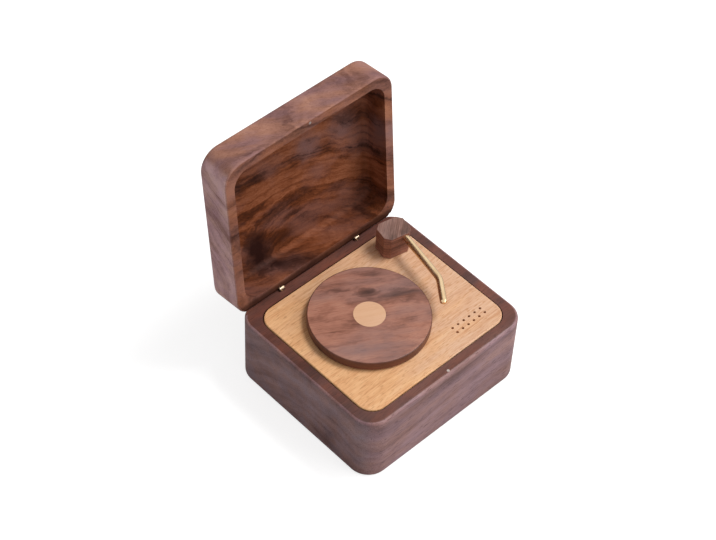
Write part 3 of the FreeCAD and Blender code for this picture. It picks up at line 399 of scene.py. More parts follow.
# How the figure shows through the purple-grey cast, and through the painted sheen, painted light
# and painted rim tone of the faces.
CAST_FIGURE = ((0.06, "#6b5a56"), (0.45, "#ffffff"))
PAINTED_LIGHT_FIGURE = ((0.15, "#b3a39f"), (0.5, "#e6dfdd"), (0.8, "#ffffff"))

# A knot's edge is ragged: how wide a tear is, in millimetres, and how deep, in half sizes
# of the knot, as is the distance at which the knot ends.
TEAR_WIDTH, TEAR, KNOT_EDGE = 6.25, 1.2, 1.6

# The height over which painted shade darkens the open lid's rim down to the hinges, in millimetres.
FOOT_TOP, FOOT_LOW = 42.0, 39.5


@dataclass(frozen=True)
class Walnut:
    """Black walnut, planed and given an open-pored satin lacquer.

    The eye reads it by its wandering dark rings, fine lengthwise fibres, short open pores
    and a slow drift between orange brown and purple grey.

    Attributes:
        name: The finished piece.
        board: How the piece lies in the log.
        tones: Its colours.
        ring: The spacing of the growth rings, in millimetres.
        warp: How far the rings wander, in millimetres.
        bands: How strongly the broad bands show.
        streaks: How strongly the streaks along the rings show.
        knots: The places where the grain swells, and, on the lid, bands of painted shade.
        wave: The length of one wander across the grain, in millimetres.
        ripple: How far the rings are ragged, in millimetres.
        lines: How strongly the single rings show.
        fibres: How strongly the fibres show.
        clouds: How strongly the tone drifts.
        pores: How strongly the open pores show.
        roughness: The roughness of the lacquer.
        gloss: The specular level of the lacquer.
    """

    name: str
    board: Board
    tones: Tones
    ring: float
    warp: float
    bands: float
    streaks: float
    knots: tuple[Knot, ...] = ()
    wave: float = 30.0
    ripple: float = 1.0
    lines: float = 0.2
    fibres: float = 0.4
    clouds: float = 0.8
    pores: float = 0.5
    roughness: float = 0.45
    gloss: float = 0.35

    def build(self) -> Material:
        """Build the material.

        Returns:
            The material.
        """
        material, tree, shader = new_material(self.name)
        place = self.board.coordinates(tree)
        seeded = {0: place, 1: self.board.seed}
        seeded = add(tree, VECTOR_MATH, seeded, operation="ADD").outputs[0]
        bent = self.bent(tree, seeded)
        knots = self.near(tree, place)
        radius = self.radius(tree, place, bent, knots)
        fibres = Pattern.FIBRE.draw(tree, bent)

        tone = self.tone(tree, seeded, bent, radius, fibres)
        shade = weigh(tree, [(near, -knot.shade) for near, knot in knots], 1.0)
        tone = add(tree, MATH, {0: tone, 1: shade}, operation="MULTIPLY").outputs[0]
        shades = (self.tones.dark, self.tones.deep, self.tones.body, self.tones.light)
        colour = add(tree, RAMP, {0: tone}, tuple(zip(TONE_STEPS, shades))).outputs[0]
        colour = self.drifted(tree, seeded, tone, knots, colour)
        colour = self.faces(tree, bent, tone, colour)

        dashes = Pattern.PORE.draw(tree, bent)
        open_pores = {"Value": dashes, "From Min": 0.60, "From Max": 0.74, "To Max": self.pores}
        pores = add(tree, RANGE, open_pores).outputs[0]
        filled = {SHARE: pores, UNDER: colour, OVER: self.tones.dark}
        colour = add(tree, MIX, filled, **LAID).outputs[BLEND]
        tree.links.new(colour, shader.inputs["Base Color"])

        # Pores are 0.06 mm deep, twice as deep as the fibres, and duller than the lacquer.
        relief = weigh(tree, [(fibres, 0.5), (pores, -1.0)], 0.0)
        bump = add(tree, BUMP, {"Height": relief, "Strength": 0.4, "Distance": 0.06 * MM})
        tree.links.new(bump.outputs[0], shader.inputs["Normal"])
        rough = weigh(tree, [(fibres, 0.12), (pores, 0.25)], self.roughness - 0.06)
        tree.links.new(rough, shader.inputs["Roughness"])
        shader.inputs["Specular IOR Level"].default_value = self.gloss
        return material

    def bent(self, tree: Tree, place: Socket) -> Socket:
        """Bend the board's coordinates, widely along the grain and tightly across it.

        Args:
            tree: The material's tree.
            place: The board's coordinates.

        Returns:
            The bent coordinates, in millimetres.
        """
        long = {0: place, 1: (0.4, 1.0, 1.0)}
        long = add(tree, VECTOR_MATH, long, operation="MULTIPLY").outputs[0]
        noise = {"Vector": long, "Scale": 1 / self.wave, "Detail": 2.5, "Roughness": 0.45}
        bends = {0: add(tree, NOISE, noise).outputs["Color"], 1: (NOISE_MEAN,) * 3}
        shift = add(tree, VECTOR_MATH, bends, operation="SUBTRACT").outputs[0]
        sizes = {0: shift, 1: (self.warp, 2 * self.warp, 2 * self.warp)}
        shift = add(tree, VECTOR_MATH, sizes, operation="MULTIPLY").outputs[0]
        return add(tree, VECTOR_MATH, {0: place, 1: shift}, operation="ADD").outputs[0]

    def near(self, tree: Tree, place: Socket) -> list[tuple[Socket, Knot]]:
        """Measure how near a point is to each knot.

        Args:
            tree: The material's tree.
            place: The board's coordinates.

        Returns:
            For each knot, a factor of one at its middle and nought at its ragged edge.
        """
        if not self.knots:
            return []
        torn = add(tree, NOISE, {"Vector": place, "Scale": 1 / TEAR_WIDTH, "Detail": 3.0})
        tear = {0: torn.outputs["Color"], 1: (TEAR,) * 3, 2: (-NOISE_MEAN * TEAR,) * 3}
        torn = add(tree, VECTOR_MATH, tear, operation="MULTIPLY_ADD").outputs[0]
        found = []
        for knot in self.knots:
            away = {0: place, 1: self.board.laid(knot.centre)}
            away = add(tree, VECTOR_MATH, away, operation="SUBTRACT").outputs[0]
            share = {0: away, 1: tuple(1 / size for size in knot.size), 2: torn}
            away = add(tree, VECTOR_MATH, share, operation="MULTIPLY_ADD").outputs[0]
            away = add(tree, VECTOR_MATH, {0: away}, operation="LENGTH").outputs["Value"]
            falling = {"Value": away, "From Min": KNOT_EDGE, "From Max": 0.0}
            factor = add(tree, RANGE, falling, interpolation_type="SMOOTHSTEP").outputs[0]
            found.append((factor, knot))
        return found

    def radius(
        self, tree: Tree, place: Socket, bent: Socket, knots: list[tuple[Socket, Knot]]
    ) -> Socket:
        """Measure the distance from the pith, pushed aside by the knots and made ragged.

        Args:
            tree: The material's tree.
            place: The board's coordinates.
            bent: The same coordinates, shifted and bent.
            knots: How near a point is to each knot.

        Returns:
            The distance along which the rings follow each other, in millimetres.
        """
        heart = self.board.laid(self.board.pith) + Vector(self.board.seed)
        away = add(tree, VECTOR_MATH, {0: bent, 1: heart}, operation="SUBTRACT").outputs[0]
        flat = {0: away, 1: (0.0, 1.0, 1.0)}
        flat = add(tree, VECTOR_MATH, flat, operation="MULTIPLY").outputs[0]
        length = add(tree, VECTOR_MATH, {0: flat}, operation="LENGTH").outputs["Value"]
        shifts = [
            (length, 1.0),
            (Pattern.RING_EDGE.draw(tree, place), 2 * self.ripple),
            *((near, self.ring * knot.lift) for near, knot in knots),
        ]
        return weigh(tree, shifts, 0.0)

    def tone(
        self, tree: Tree, seeded: Socket, bent: Socket, radius: Socket, fibres: Socket
    ) -> Socket:
        """Measure how light the wood is, without its knots.

        Broad bands of two or three rings fade in and out along the board, each ring
        darkens up to a narrow line, and streaks follow the rings.

        Args:
            tree: The material's tree.
            seeded: The board's coordinates, shifted.
            bent: The same coordinates, shifted and bent.
            radius: The distance across the rings.
            fibres: The fibres.

        Returns:
            The tone, about one half.
        """
        count = add(tree, MATH, {0: radius, 1: self.ring}, operation="DIVIDE").outputs[0]
        noise = {"W": count, "Scale": BANDS_PER_RING, "Detail": 2.0}
        bands = add(tree, NOISE, noise, noise_dimensions="1D").outputs[0]
        fade = Pattern.RING_FADE.draw(tree, seeded)
        swell = {"Value": fade, "From Min": 0.35, "From Max": 0.65, "To Min": 0.3}
        swell = add(tree, RANGE, swell).outputs[0]
        faded = add(tree, MATH, {0: bands, 1: NOISE_MEAN}, operation="SUBTRACT").outputs[0]
        faded = add(tree, MATH, {0: faded, 1: swell}, operation="MULTIPLY").outputs[0]
        share = add(tree, MATH, {0: count}, operation="FRACT").outputs[0]
        line = add(tree, RAMP, {0: share}, RING_LINE).outputs[0]
        axes = add(tree, SPLIT, {0: bent}).outputs
        spot = add(tree, JOIN, {0: axes[0], 1: axes[1], 2: radius}).outputs[0]
        weights = [
            (faded, 2.0 * self.bands),
            (line, self.lines),
            (Pattern.STREAK.draw(tree, spot), self.streaks),
            (fibres, self.fibres),
            (Pattern.CLOUD.draw(tree, seeded), self.clouds),
        ]
        noises = self.streaks + self.fibres + self.clouds
        return weigh(tree, weights, PLAIN_TONE - LINE_MEAN * self.lines - NOISE_MEAN * noises)

    def drifted(
        self,
        tree: Tree,
        seeded: Socket,
        tone: Socket,
        knots: list[tuple[Socket, Knot]],
        colour: Socket,
    ) -> Socket:
        """Let the heartwood drift to purple-grey, less so in its dark streaks.

        Args:
            tree: The material's tree.
            seeded: The board's coordinates, shifted.
            tone: How light the wood is.
            knots: How near a point is to each knot.
            colour: The colour of the wood.

        Returns:
            The drifted colour.
        """
        drift = Pattern.HEARTWOOD.draw(tree, seeded)
        reach = {"Value": drift, "From Min": 0.44, "From Max": 0.64}
        drift = add(tree, RANGE, {**reach, "To Max": self.tones.cast_share}).outputs[0]
        casts = [(near, knot.cast) for near, knot in knots if knot.cast]
        drift = weigh(tree, casts, drift)
        dimmed = add(tree, RAMP, {0: tone}, CAST_FIGURE).outputs[0]
        cast = {SHARE: 1.0, UNDER: dimmed, OVER: self.tones.cast}
        cast = add(tree, MIX, cast, **MULTIPLIED).outputs[BLEND]
        drifted = {SHARE: drift, UNDER: colour, OVER: cast}
        return add(tree, MIX, drifted, **LAID).outputs[BLEND]

    def faces(self, tree: Tree, bent: Socket, tone: Socket, colour: Socket) -> Socket:
        """Paint light and shade onto the faces: a tone on the rim, a sheen on the outward faces,
        light on the left end, shade by the hinges and on the inward faces.

        Args:
            tree: The material's tree.
            bent: The bent coordinates of the board.
            tone: How light the wood is.
            colour: The colour of the wood.

        Returns:
            The shifted colour.
        """
        tones = self.tones
        patches = Pattern.PAINTED_LIGHT_PATCH.draw(tree, bent)
        figure = add(tree, RAMP, {0: tone}, PAINTED_LIGHT_FIGURE).outputs[0]
        # The rim tone, the sheen and the left end's light are painted light, with the figure
        # showing through.
        films = []
        for cool, warm in (
            (tones.rim, tones.rim_warm),
            (tones.outer, tones.outer_warm),
            (tones.end, tones.end_warm),
        ):
            film = add(tree, RAMP, {0: patches}, ((0.36, cool), (0.64, warm))).outputs[0]
            film = {SHARE: 1.0, UNDER: film, OVER: figure}
            films.append(add(tree, MIX, film, **MULTIPLIED).outputs[BLEND])
        edge, painted_sheen, painted_left_light = films

        own = add(tree, COORDINATES).outputs
        out = self.board.facing(tree)
        # Where the painted light of the left end falls: the faces that look left.
        left = add(tree, SPLIT, {0: own["Normal"]}).outputs[0]
        left = add(tree, MATH, {0: left, 1: -1.0}, operation="MULTIPLY").outputs[0]
        left = add(tree, MATH, {0: left, 1: out}, operation="MINIMUM").outputs[0]
        # Where the painted shade by the hinges falls: low on the rim.
        low = add(tree, SPLIT, {0: own["Object"]}).outputs[2]
        low = {"Value": low, "From Min": FOOT_TOP * MM, "From Max": FOOT_LOW * MM}
        low = add(tree, RANGE, low).outputs[0]
        level = add(tree, MATH, {0: out}, operation="ABSOLUTE").outputs[0]
        level = {"Value": level, "From Min": 0.3, "From Max": 0.15}
        level = add(tree, RANGE, level).outputs[0]
        foot = add(tree, MATH, {0: low, 1: level}, operation="MULTIPLY").outputs[0]

        # Each shift paints light or shade into the colour.
        # What drives each shift, where it starts and is whole, its colour, share and blend.
        for value, start, end, over, share, blend in (
            (out, -0.08, 0.02, edge, tones.rim_share, LAID),
            (foot, 0.0, 1.0, tones.foot, tones.foot_share, LAID),
            (out, 0.1, 0.55, painted_sheen, tones.outer_share, LAID),
            (left, 0.6, 0.9, painted_left_light, tones.end_share, LAID),
            (out, -0.08, -0.3, tones.inner, 1.0, MULTIPLIED),
        ):
            reach = {"Value": value, "From Min": start, "From Max": end, "To Max": share}
            factor = add(tree, RANGE, reach, interpolation_type="SMOOTHSTEP").outputs[0]
            shifted = {SHARE: factor, UNDER: colour, OVER: over}
            colour = add(tree, MIX, shifted, **blend).outputs[BLEND]
        return colour


# How dark the fibres and bands of beech are, from their dark side to their light side.
BEECH_FIGURE = ((0.28, "#cfae94"), (0.46, "#f0e3d8"), (0.66, "#ffffff"))


@dataclass(frozen=True)
class Beech:
    """Steamed beech, sanded fine and left matt.

    The eye reads it by its fine wavy fibres, short brown ray flecks and a drift from
    yellow tan at one end to pinkish tan at the other.

    Attributes:
        name: The finished piece.
        board: How the piece lies in the board.
        warm: The hex colour of the yellower wood.
        pink: The hex colour of the pinker wood.
        fleck: The hex colour of the ray flecks.
        fleck_share: How strongly the flecks show, from 0 to 1.
        fibres: How strongly the fibres show, from 0 to 1.
    """

    name: str
    board: Board
    warm: str = "#ebb988"
    pink: str = "#e1b898"
    fleck: str = "#bb8457"
    fleck_share: float = 0.6
    fibres: float = 0.75

    def build(self) -> Material:
        """Build the material.

        Returns:
            The material.
        """
        material, tree, shader = new_material(self.name)
        place = self.board.coordinates(tree)
        bends = add(tree, NOISE, {"Vector": place, "Scale": 1 / 14, "Detail": 1.0})
        bent = {0: bends.outputs["Color"], 1: (0.0, 1.6, 1.6)}
        bent = add(tree, VECTOR_MATH, bent, operation="MULTIPLY").outputs[0]
        place = add(tree, VECTOR_MATH, {0: place, 1: bent}, operation="ADD").outputs[0]

        end = add(tree, SPLIT, {0: place}).outputs[0]
        drift = [(Pattern.BEECH_DRIFT.draw(tree, place), 1.6), (end, 0.4 / self.board.reach)]
        drift = weigh(tree, drift, -0.3)
        colour = add(tree, RAMP, {0: drift}, ((0.2, self.warm), (0.8, self.pink))).outputs[0]
        bands = Pattern.BEECH_BAND.draw(tree, place)
        fibres = Pattern.BEECH_FIBRE.draw(tree, place)
        grain = weigh(tree, [(bands, 0.55), (fibres, 0.75)], -0.14)
        shade = add(tree, RAMP, {0: grain}, BEECH_FIGURE).outputs[0]
        shaded = {SHARE: self.fibres, UNDER: colour, OVER: shade}
        colour = add(tree, MIX, shaded, **MULTIPLIED).outputs[BLEND]

        dashes = Pattern.BEECH_FLECK.draw(tree, place)
        seen = {"Value": dashes, "From Min": 0.6, "From Max": 0.76, "To Max": self.fleck_share}
        flecks = add(tree, RANGE, seen).outputs[0]
        flecked = {SHARE: flecks, UNDER: colour, OVER: self.fleck}
        colour = add(tree, MIX, flecked, **LAID).outputs[BLEND]
        tree.links.new(colour, shader.inputs["Base Color"])

        relief = weigh(tree, [(fibres, 0.6), (flecks, -0.6)], 0.0)
        bump = add(tree, BUMP, {"Height": relief, "Strength": 0.3, "Distance": 0.04 * MM})
        tree.links.new(bump.outputs[0], shader.inputs["Normal"])
        shader.inputs["Roughness"].default_value = 0.6
        shader.inputs["Specular IOR Level"].default_value = 0.3
        return material


# ------------------------------------------------------------------ metals and plastic


class Working(Enum):
    """How a metal surface was made: its roughness, unevenness, mark width and mark depth.

    The marks are in millimetres, and wider than real ones, so that they show.
    """

    # Barrel-finished, then plated or lacquered: an even satin shine with a soft highlight.
    PLATED = (0.28, 0.06, 0.8, 0.004)
    # Turned on a lathe: fine marks that break the highlight up.
    TURNED = (0.32, 0.08, 0.25, 0.008)
    # Ground: a close and even sheen.
    GROUND = (0.28, 0.06, 0.12, 0.006)
    # Stamped from sheet: duller, on a slightly wavy face.
    STAMPED = (0.38, 0.10, 0.6, 0.010)
    # Cast: a matt and grainy skin.
    CAST = (0.55, 0.10, 0.5, 0.030)


# How wide a patch of wear is, in tool marks, and how far its noise is stretched, since it
# keeps near its mean.
WEAR_WIDTH, WEAR_SPREAD = 9, 2.5


@dataclass(frozen=True)
class Metal:
    """A metal part with faint tool marks, uneven polish and a little tarnish.

    Attributes:
        name: What the metal is.
        colour: Its hex colour.
        tarnish: The hex colour of its duller patches.
        working: How its surface was made.
    """

    name: str
    colour: str
    tarnish: str
    working: Working

    def build(self) -> Material:
        """Build the material.

        Returns:
            The material.
        """
        roughness, unevenness, mark, depth = self.working.value
        material, tree, shader = new_material(self.name)
        own = add(tree, COORDINATES).outputs["Object"]
        fine = {"Vector": own, "Scale": 1 / (mark * MM), "Detail": 2.0}
        broad = {"Vector": own, "Scale": 1 / (WEAR_WIDTH * mark * MM), "Detail": 3.0}
        marks, wear = (add(tree, NOISE, noise).outputs[0] for noise in (fine, broad))
        patches = ((0.35, self.colour), (0.7, self.tarnish))
        tree.links.new(add(tree, RAMP, {0: wear}, patches).outputs[0], shader.inputs["Base Color"])
        spread = WEAR_SPREAD * unevenness
        rough = weigh(tree, [(wear, spread)], roughness - NOISE_MEAN * spread)
        tree.links.new(rough, shader.inputs["Roughness"])
        bump = add(tree, BUMP, {"Height": marks, "Strength": 0.3, "Distance": depth * MM})
        tree.links.new(bump.outputs[0], shader.inputs["Normal"])
        shader.inputs["Metallic"].default_value = 1.0
        return material


@dataclass(frozen=True)
class Moulding:
    """Natural nylon, injection moulded: off-white, a little waxy and cloudy.

    Attributes:
        name: What the moulding is.
        colour: Its hex colour.
        bloom: The hex colour of its paler clouds.
    """

    name: str
    colour: str
    bloom: str

    def build(self) -> Material:
        """Build the material.

        Returns:
            The material.
        """
        material, tree, shader = new_material(self.name)
        own = add(tree, COORDINATES).outputs["Object"]
        noise = {"Vector": own, "Scale": 1 / (1.5 * MM), "Detail": 2.0}
        flow = add(tree, NOISE, noise).outputs[0]
        clouds = ((0.3, self.colour), (0.7, self.bloom))
        tree.links.new(add(tree, RAMP, {0: flow}, clouds).outputs[0], shader.inputs["Base Color"])
        bump = add(tree, BUMP, {"Height": flow, "Strength": 0.2, "Distance": 0.02 * MM})
        tree.links.new(bump.outputs[0], shader.inputs["Normal"])
        shader.inputs["Roughness"].default_value = 0.5
        return material


# ------------------------------------------------------------------ sub-assemblies


@dataclass
class Case:
    """The walnut base, its beech deck and the magnets of the two rims.

    Attributes:
        tones: The colours of the base.
        magnet: The finish of the magnets.
    """

    tones: Tones = Tones(
        dark="#2f1711",
        deep="#522b1f",
        body="#704031",
        light="#8c5643",
        cast="#573a3c",
        # Painted: a sheen on the outward faces, light on the left end, a darker rim tone, shade on
        # the inward faces.
        outer="#aa888f",
        outer_warm="#b18a85",
        outer_share=0.78,
        end="#9a8286",
        end_warm="#a3807d",
        end_share=0.6,
        rim_share=0.7,
        inner="#b08a78",
    )
    magnet: Metal = Metal("nickel_plated_magnet", "#bfb2ab", "#a39690", Working.STAMPED)

    def dress(self) -> None:
        """Finish the base, deck and magnets."""
        rim = crown("base_case")
        rim.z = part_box("deck_plate")[1].z / MM
        walnut = Walnut(
            "satin_lacquered_walnut_base",
            Board(rim, (0.0, 0.0, 0.0), (0.0, -14.0, -60.0), 42.0, seed=(310.0, 40.0, 0.0)),
            self.tones,
            ring=5.0,
            warp=5.0,
            bands=0.7,
            streaks=0.4,
            clouds=1.0,
        )
        dress(walnut.build(), "base_case")
        deck = Board(crown("deck_plate"), (0.0, 0.0, 0.0), (0.0, 0.0, -100.0), 41.0)
        dress(Beech("sanded_beech_deck", deck).build(), "deck_plate")
        dress(self.magnet.build(), "catch_magnet_base", "catch_magnet_lid")


@dataclass
class Lid:
    """The walnut lid, hollowed from one figured block.

    Attributes:
        tones: Its colours.
        knots: The places where its grain swells, and two bands of painted shade, on the closed lid.
        pith: A point of the log's heart, on the closed lid, in millimetres.
    """

    tones: Tones = Tones(
        dark="#270f09",
        deep="#522915",
        body="#7b4429",
        light="#9a5f42",
        cast="#7b5853",
        # Painted: a sheen on the outward faces, light on the left end, a pink rim highlight, shade
        # by the hinges.
        outer="#a27f80",
        outer_warm="#b98a78",
        outer_share=0.68,
        end="#ecc1c8",
        end_warm="#f2c8c2",
        end_share=0.78,
        rim="#b48c86",
        rim_warm="#b98a72",
        rim_share=0.25,
        foot_share=0.75,
    )
    knots: tuple[Knot, ...] = (
        # The burl low on the left of the inside, and the greyer wood below it.
        Knot((-21.0, 25.0, 48.0), (20.0, 12.0, 4.5), 1.6, 1.0),
        Knot((-14.0, 37.0, 42.0), (18.0, 8.0, 7.0), 0.2, 0.0, 0.4),
        # Painted shade on the wall beside the hinges.
        Knot((0.0, 40.0, 38.0), (44.0, 7.0, 6.0), 0.3, 0.3),
        # The dark swell high on the right, and the purple-grey patch beside it.
        Knot((34.0, -16.0, 48.0), (17.0, 11.0, 4.5), 1.0, 0.65),
        Knot((11.0, -14.0, 48.0), (13.0, 8.0, 4.5), 0.3, -0.35, 1.0),
        # The paler wood of the right rim.
        Knot((45.0, 0.0, 44.0), (40.0, 9.0, 5.0), 0.3, -0.9, 0.6),
        Knot((46.0, -8.0, 38.0), (30.0, 7.0, 5.0), 0.1, -0.3, 0.8),
        # The burl's dark trail, and painted shade along the ceiling's front edge.
        Knot((-4.0, 29.0, 48.0), (14.0, 6.0, 4.5), 0.2, 0.4),
        Knot((19.0, -27.0, 48.0), (12.0, 6.0, 4.5), 0.2, 0.28),
    )
    pith: Triple = (8.0, 52.0, 50.0)

    @property
    def hinge(self) -> tuple[Vector, float]:
        """A point of the hinge's axis, in millimetres, and the lid's opening, in degrees."""
        joint = next(joint for joint in frame["joints"] if joint["name"] == "lid_hinge")
        return Vector(joint["pos_m"]) / MM, max(joint["range_deg"])

    def opened(self, point: Triple) -> Triple:
        """Find where a point of the closed lid is when the lid stands open.

        Args:
            point: The point, in millimetres.

        Returns:
            Where it is then, in millimetres.
        """
        pivot, opening = self.hinge
        arm = Vector(point) - pivot
        arm.rotate(Euler((-math.radians(opening), 0.0, 0.0)))
        return tuple(pivot + arm)

    def dress(self) -> None:
        """Finish the lid."""
        pivot, opening = self.hinge
        board = Board(
            Vector(self.opened((0.0, 0.0, pivot.z))),
            (opening, -32.0, -17.6),
            self.opened(self.pith),
            40.0,
            seed=(90.0, 10.0, 30.0),
        )
        walnut = Walnut(
            "satin_lacquered_figured_walnut_lid",
            board,
            self.tones,
            ring=4.5,
            warp=8.0,
            bands=0.9,
            streaks=0.7,
            knots=tuple(replace(knot, centre=self.opened(knot.centre)) for knot in self.knots),
            wave=32.0,
            ripple=1.6,
            clouds=1.0,
            pores=0.25,
            roughness=0.6,
            gloss=0.08,
        )
        dress(walnut.build(), "lid_shell")


@dataclass
class Turntable:
    """The walnut platter and its beech label.

    Attributes:
        grain: How far the grain is turned from the front edge, in degrees.
        tones: The colours of the platter.
        knots: The places where its grain swells.
    """

    grain: float = 30.0
    tones: Tones = Tones(
        dark="#472a20",
        deep="#784a3a",
        body="#a66f5b",
        light="#bb8670",
        cast="#8a6a65",
        outer="#552c1d",
        outer_warm="#643421",
        outer_share=0.85,
        cast_share=0.65,
    )
    knots: tuple[Knot, ...] = (
        # The dark smudge behind the label, the streak to its right and the shade behind both.
        Knot((1.0, 10.8, 42.5), (4.4, 2.2, 8.0), 1.2, 1.0),
        Knot((11.0, 0.5, 42.5), (10.0, 1.3, 8.0), 0.5, 0.4, 0.3),
        Knot((10.0, 16.0, 42.5), (6.0, 3.0, 8.0), 0.6, 0.4),
        # The greyer wood at the front on the left.
        Knot((-16.0, -16.0, 42.5), (15.0, 6.0, 8.0), 0.3, 0.2, 0.6),
        # Three paler patches.
        Knot((10.0, 7.5, 42.5), (11.0, 4.0, 8.0), 0.2, -0.5),
        Knot((5.0, -8.0, 42.5), (16.0, 6.0, 8.0), 0.2, -0.85),
        Knot((-14.0, 18.0, 42.5), (14.0, 7.0, 8.0), 0.2, -0.4),
    )

    def dress(self) -> None:
        """Finish the platter and its label."""
        turn = (0.0, 0.0, self.grain)
        walnut = Walnut(
            "satin_lacquered_walnut_platter",
            Board(crown("platter"), turn, (5.0, -2.0, 20.0), 27.0, seed=(-80.0, 20.0, 8.0)),
            self.tones,
            ring=3.2,
            warp=5.0,
            bands=0.7,
            streaks=0.5,
            knots=self.knots,
            wave=24.0,
            ripple=1.4,
            fibres=0.25,
            clouds=1.1,
            pores=0.25,
        )
        dress(walnut.build(), "platter")
        label = Beech(
            "fine_sanded_beech_label",
            Board(crown("platter_label"), turn, (0.0, 0.0, -100.0), 70.0),
            warm="#deb08b",
            pink="#deb18f",
            fleck_share=0.1,
            fibres=0.2,
        )
        dress(label.build(), "platter_label")


@dataclass
class Tonearm:
    """The walnut post and the bent brass rod that turns with it.

    Attributes:
        grain: How far the post's grain is turned from the front edge, in degrees.
        tones: The colours of the post.
        brass: The finish of the rod.
    """

    grain: float = -40.0
    tones: Tones = Tones(
        dark="#4a332c",
        deep="#745246",
        body="#936f64",
        light="#ab897d",
        cast="#7c6a66",
        outer="#8b5646",
        outer_warm="#844a35",
        outer_share=0.85,
        # Painted light on the faces of the post that look left.
        end="#b27c6a",
        end_warm="#ac7058",
        end_share=0.8,
    )
    brass: Metal = Metal("satin_brass_rod", "#eacea5", "#d5b48a", Working.PLATED)

    def dress(self) -> None:
        """Finish the post and the rod."""
        turn = (0.0, 0.0, self.grain)
        walnut = Walnut(
            "satin_lacquered_walnut_post",
            Board(crown("arm_post"), turn, (30.0, 20.0, -20.0), 5.5, seed=(15.0, 60.0, 0.0)),
            self.tones,
            ring=1.6,
            warp=0.8,
            bands=1.6,
            streaks=0.5,
            wave=12.0,
            ripple=0.2,
            lines=0.5,
            fibres=0.9,
        )
        dress(walnut.build(), "arm_post")
        dress(self.brass.build(), "tonearm_rod")


class Head(Enum):
    """How a screw's head ends: its rim's share of the radius, and whether it tapers."""

    CHEESE = (0.84, False)
    COUNTERSUNK = (1.0, True)


@dataclass(frozen=True)
class Screws:
    """The screws of one CAD node, driven upwards, each with a cross slot in its head.

    Attributes:
        node: The CAD node that they stand for.
        body: The body that they ride on.
        head: How the heads end.
        head_height: The height of a head, in millimetres.
        shank_radius: The radius of the shank, in millimetres.
        slot: The width and depth of the cross slot, in millimetres.
        chamfer: The height of the head's chamfer, in millimetres.
        spacing: Corners closer than this across the axis belong to one screw, in millimetres.
    """

    node: str
    body: str
    head: Head
    head_height: float
    shank_radius: float
    slot: tuple[float, float] = (0.5, 0.45)
    chamfer: float = 0.22
    spacing: float = 4.5

    def build(self, finish: Material) -> None:
        """Make the screws in place of the CAD node.

        Args:
            finish: The material of the screws.
        """
        places, radius, length = self.found()
        mesh = bpy.data.meshes.new(self.node)
        mesh.from_pydata([MM * place for place in places], [], [])
        spots = bpy.data.objects.new(self.node, mesh)
        bpy.context.scene.collection.objects.link(spots)
        share, tapers = self.head.value
        sizes = {
            "Head Radius": radius,
            "Rim Radius": share * radius,
            "Neck Radius": self.shank_radius if tapers else radius,
            "Head Height": self.head_height,
            "Chamfer": self.chamfer,
            "Shank Radius": self.shank_radius,
            "Length": length,
            "Slot Width": self.slot[0],
            "Slot Depth": self.slot[1],
        }
        modifier = spots.modifiers.new("screws", "NODES")
        modifier.node_group = screw_tree(sizes)
        for item in modifier.node_group.interface.items_tree:
            if item.name in sizes:
                modifier[item.identifier] = sizes[item.name] * MM
            elif item.name == "Finish":
                modifier[item.identifier] = finish
        graph = bpy.context.evaluated_depsgraph_get()
        solid = bpy.data.meshes.new_from_object(spots.evaluated_get(graph))
        spots.modifiers.clear()
        spots.data = solid
        spots.name = f"{self.node}_slotted"
        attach(spots, self.body)
        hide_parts(self.node)
        LOG.info("%s: %d screws, %s", spots.name, len(places), finish.name)

    def found(self) -> tuple[list[Vector], float, float]:
        """Read the screws of the CAD node.

        Returns:
            The middle of each head's lower face, the radius of a head and the length of a
            screw, in millimetres.
        """
        groups: list[list[Vector]] = []
        for corner in frame["nodes"][self.node].data.vertices:
            point = corner.co / MM
            near = (group for group in groups if (group[0] - point).xy.length < self.spacing)
            group = next(near, None)
            if group is None:
                groups.append([point])
            else:
                group.append(point)
        places = []
        for group in groups:
            lows, highs = ([pick(axis) for axis in zip(*group)] for pick in (min, max))
            middle = ((lows[0] + highs[0]) / 2, (lows[1] + highs[1]) / 2, lows[2])
            places.append(Vector(middle))
        # The screws of a node are alike, so the last one gives the sizes.
        return places, (highs[0] - lows[0]) / 2, highs[2] - lows[2]


SCREW_SEED = 7
HEAD_SIDES, SHANK_SIDES = 48, 32

# How long the cutter of a slot is, in radii of the head, and how deep, in depths of the slot.
CUTTER_LENGTH, CUTTER_DEPTH = 1.3, 2.0


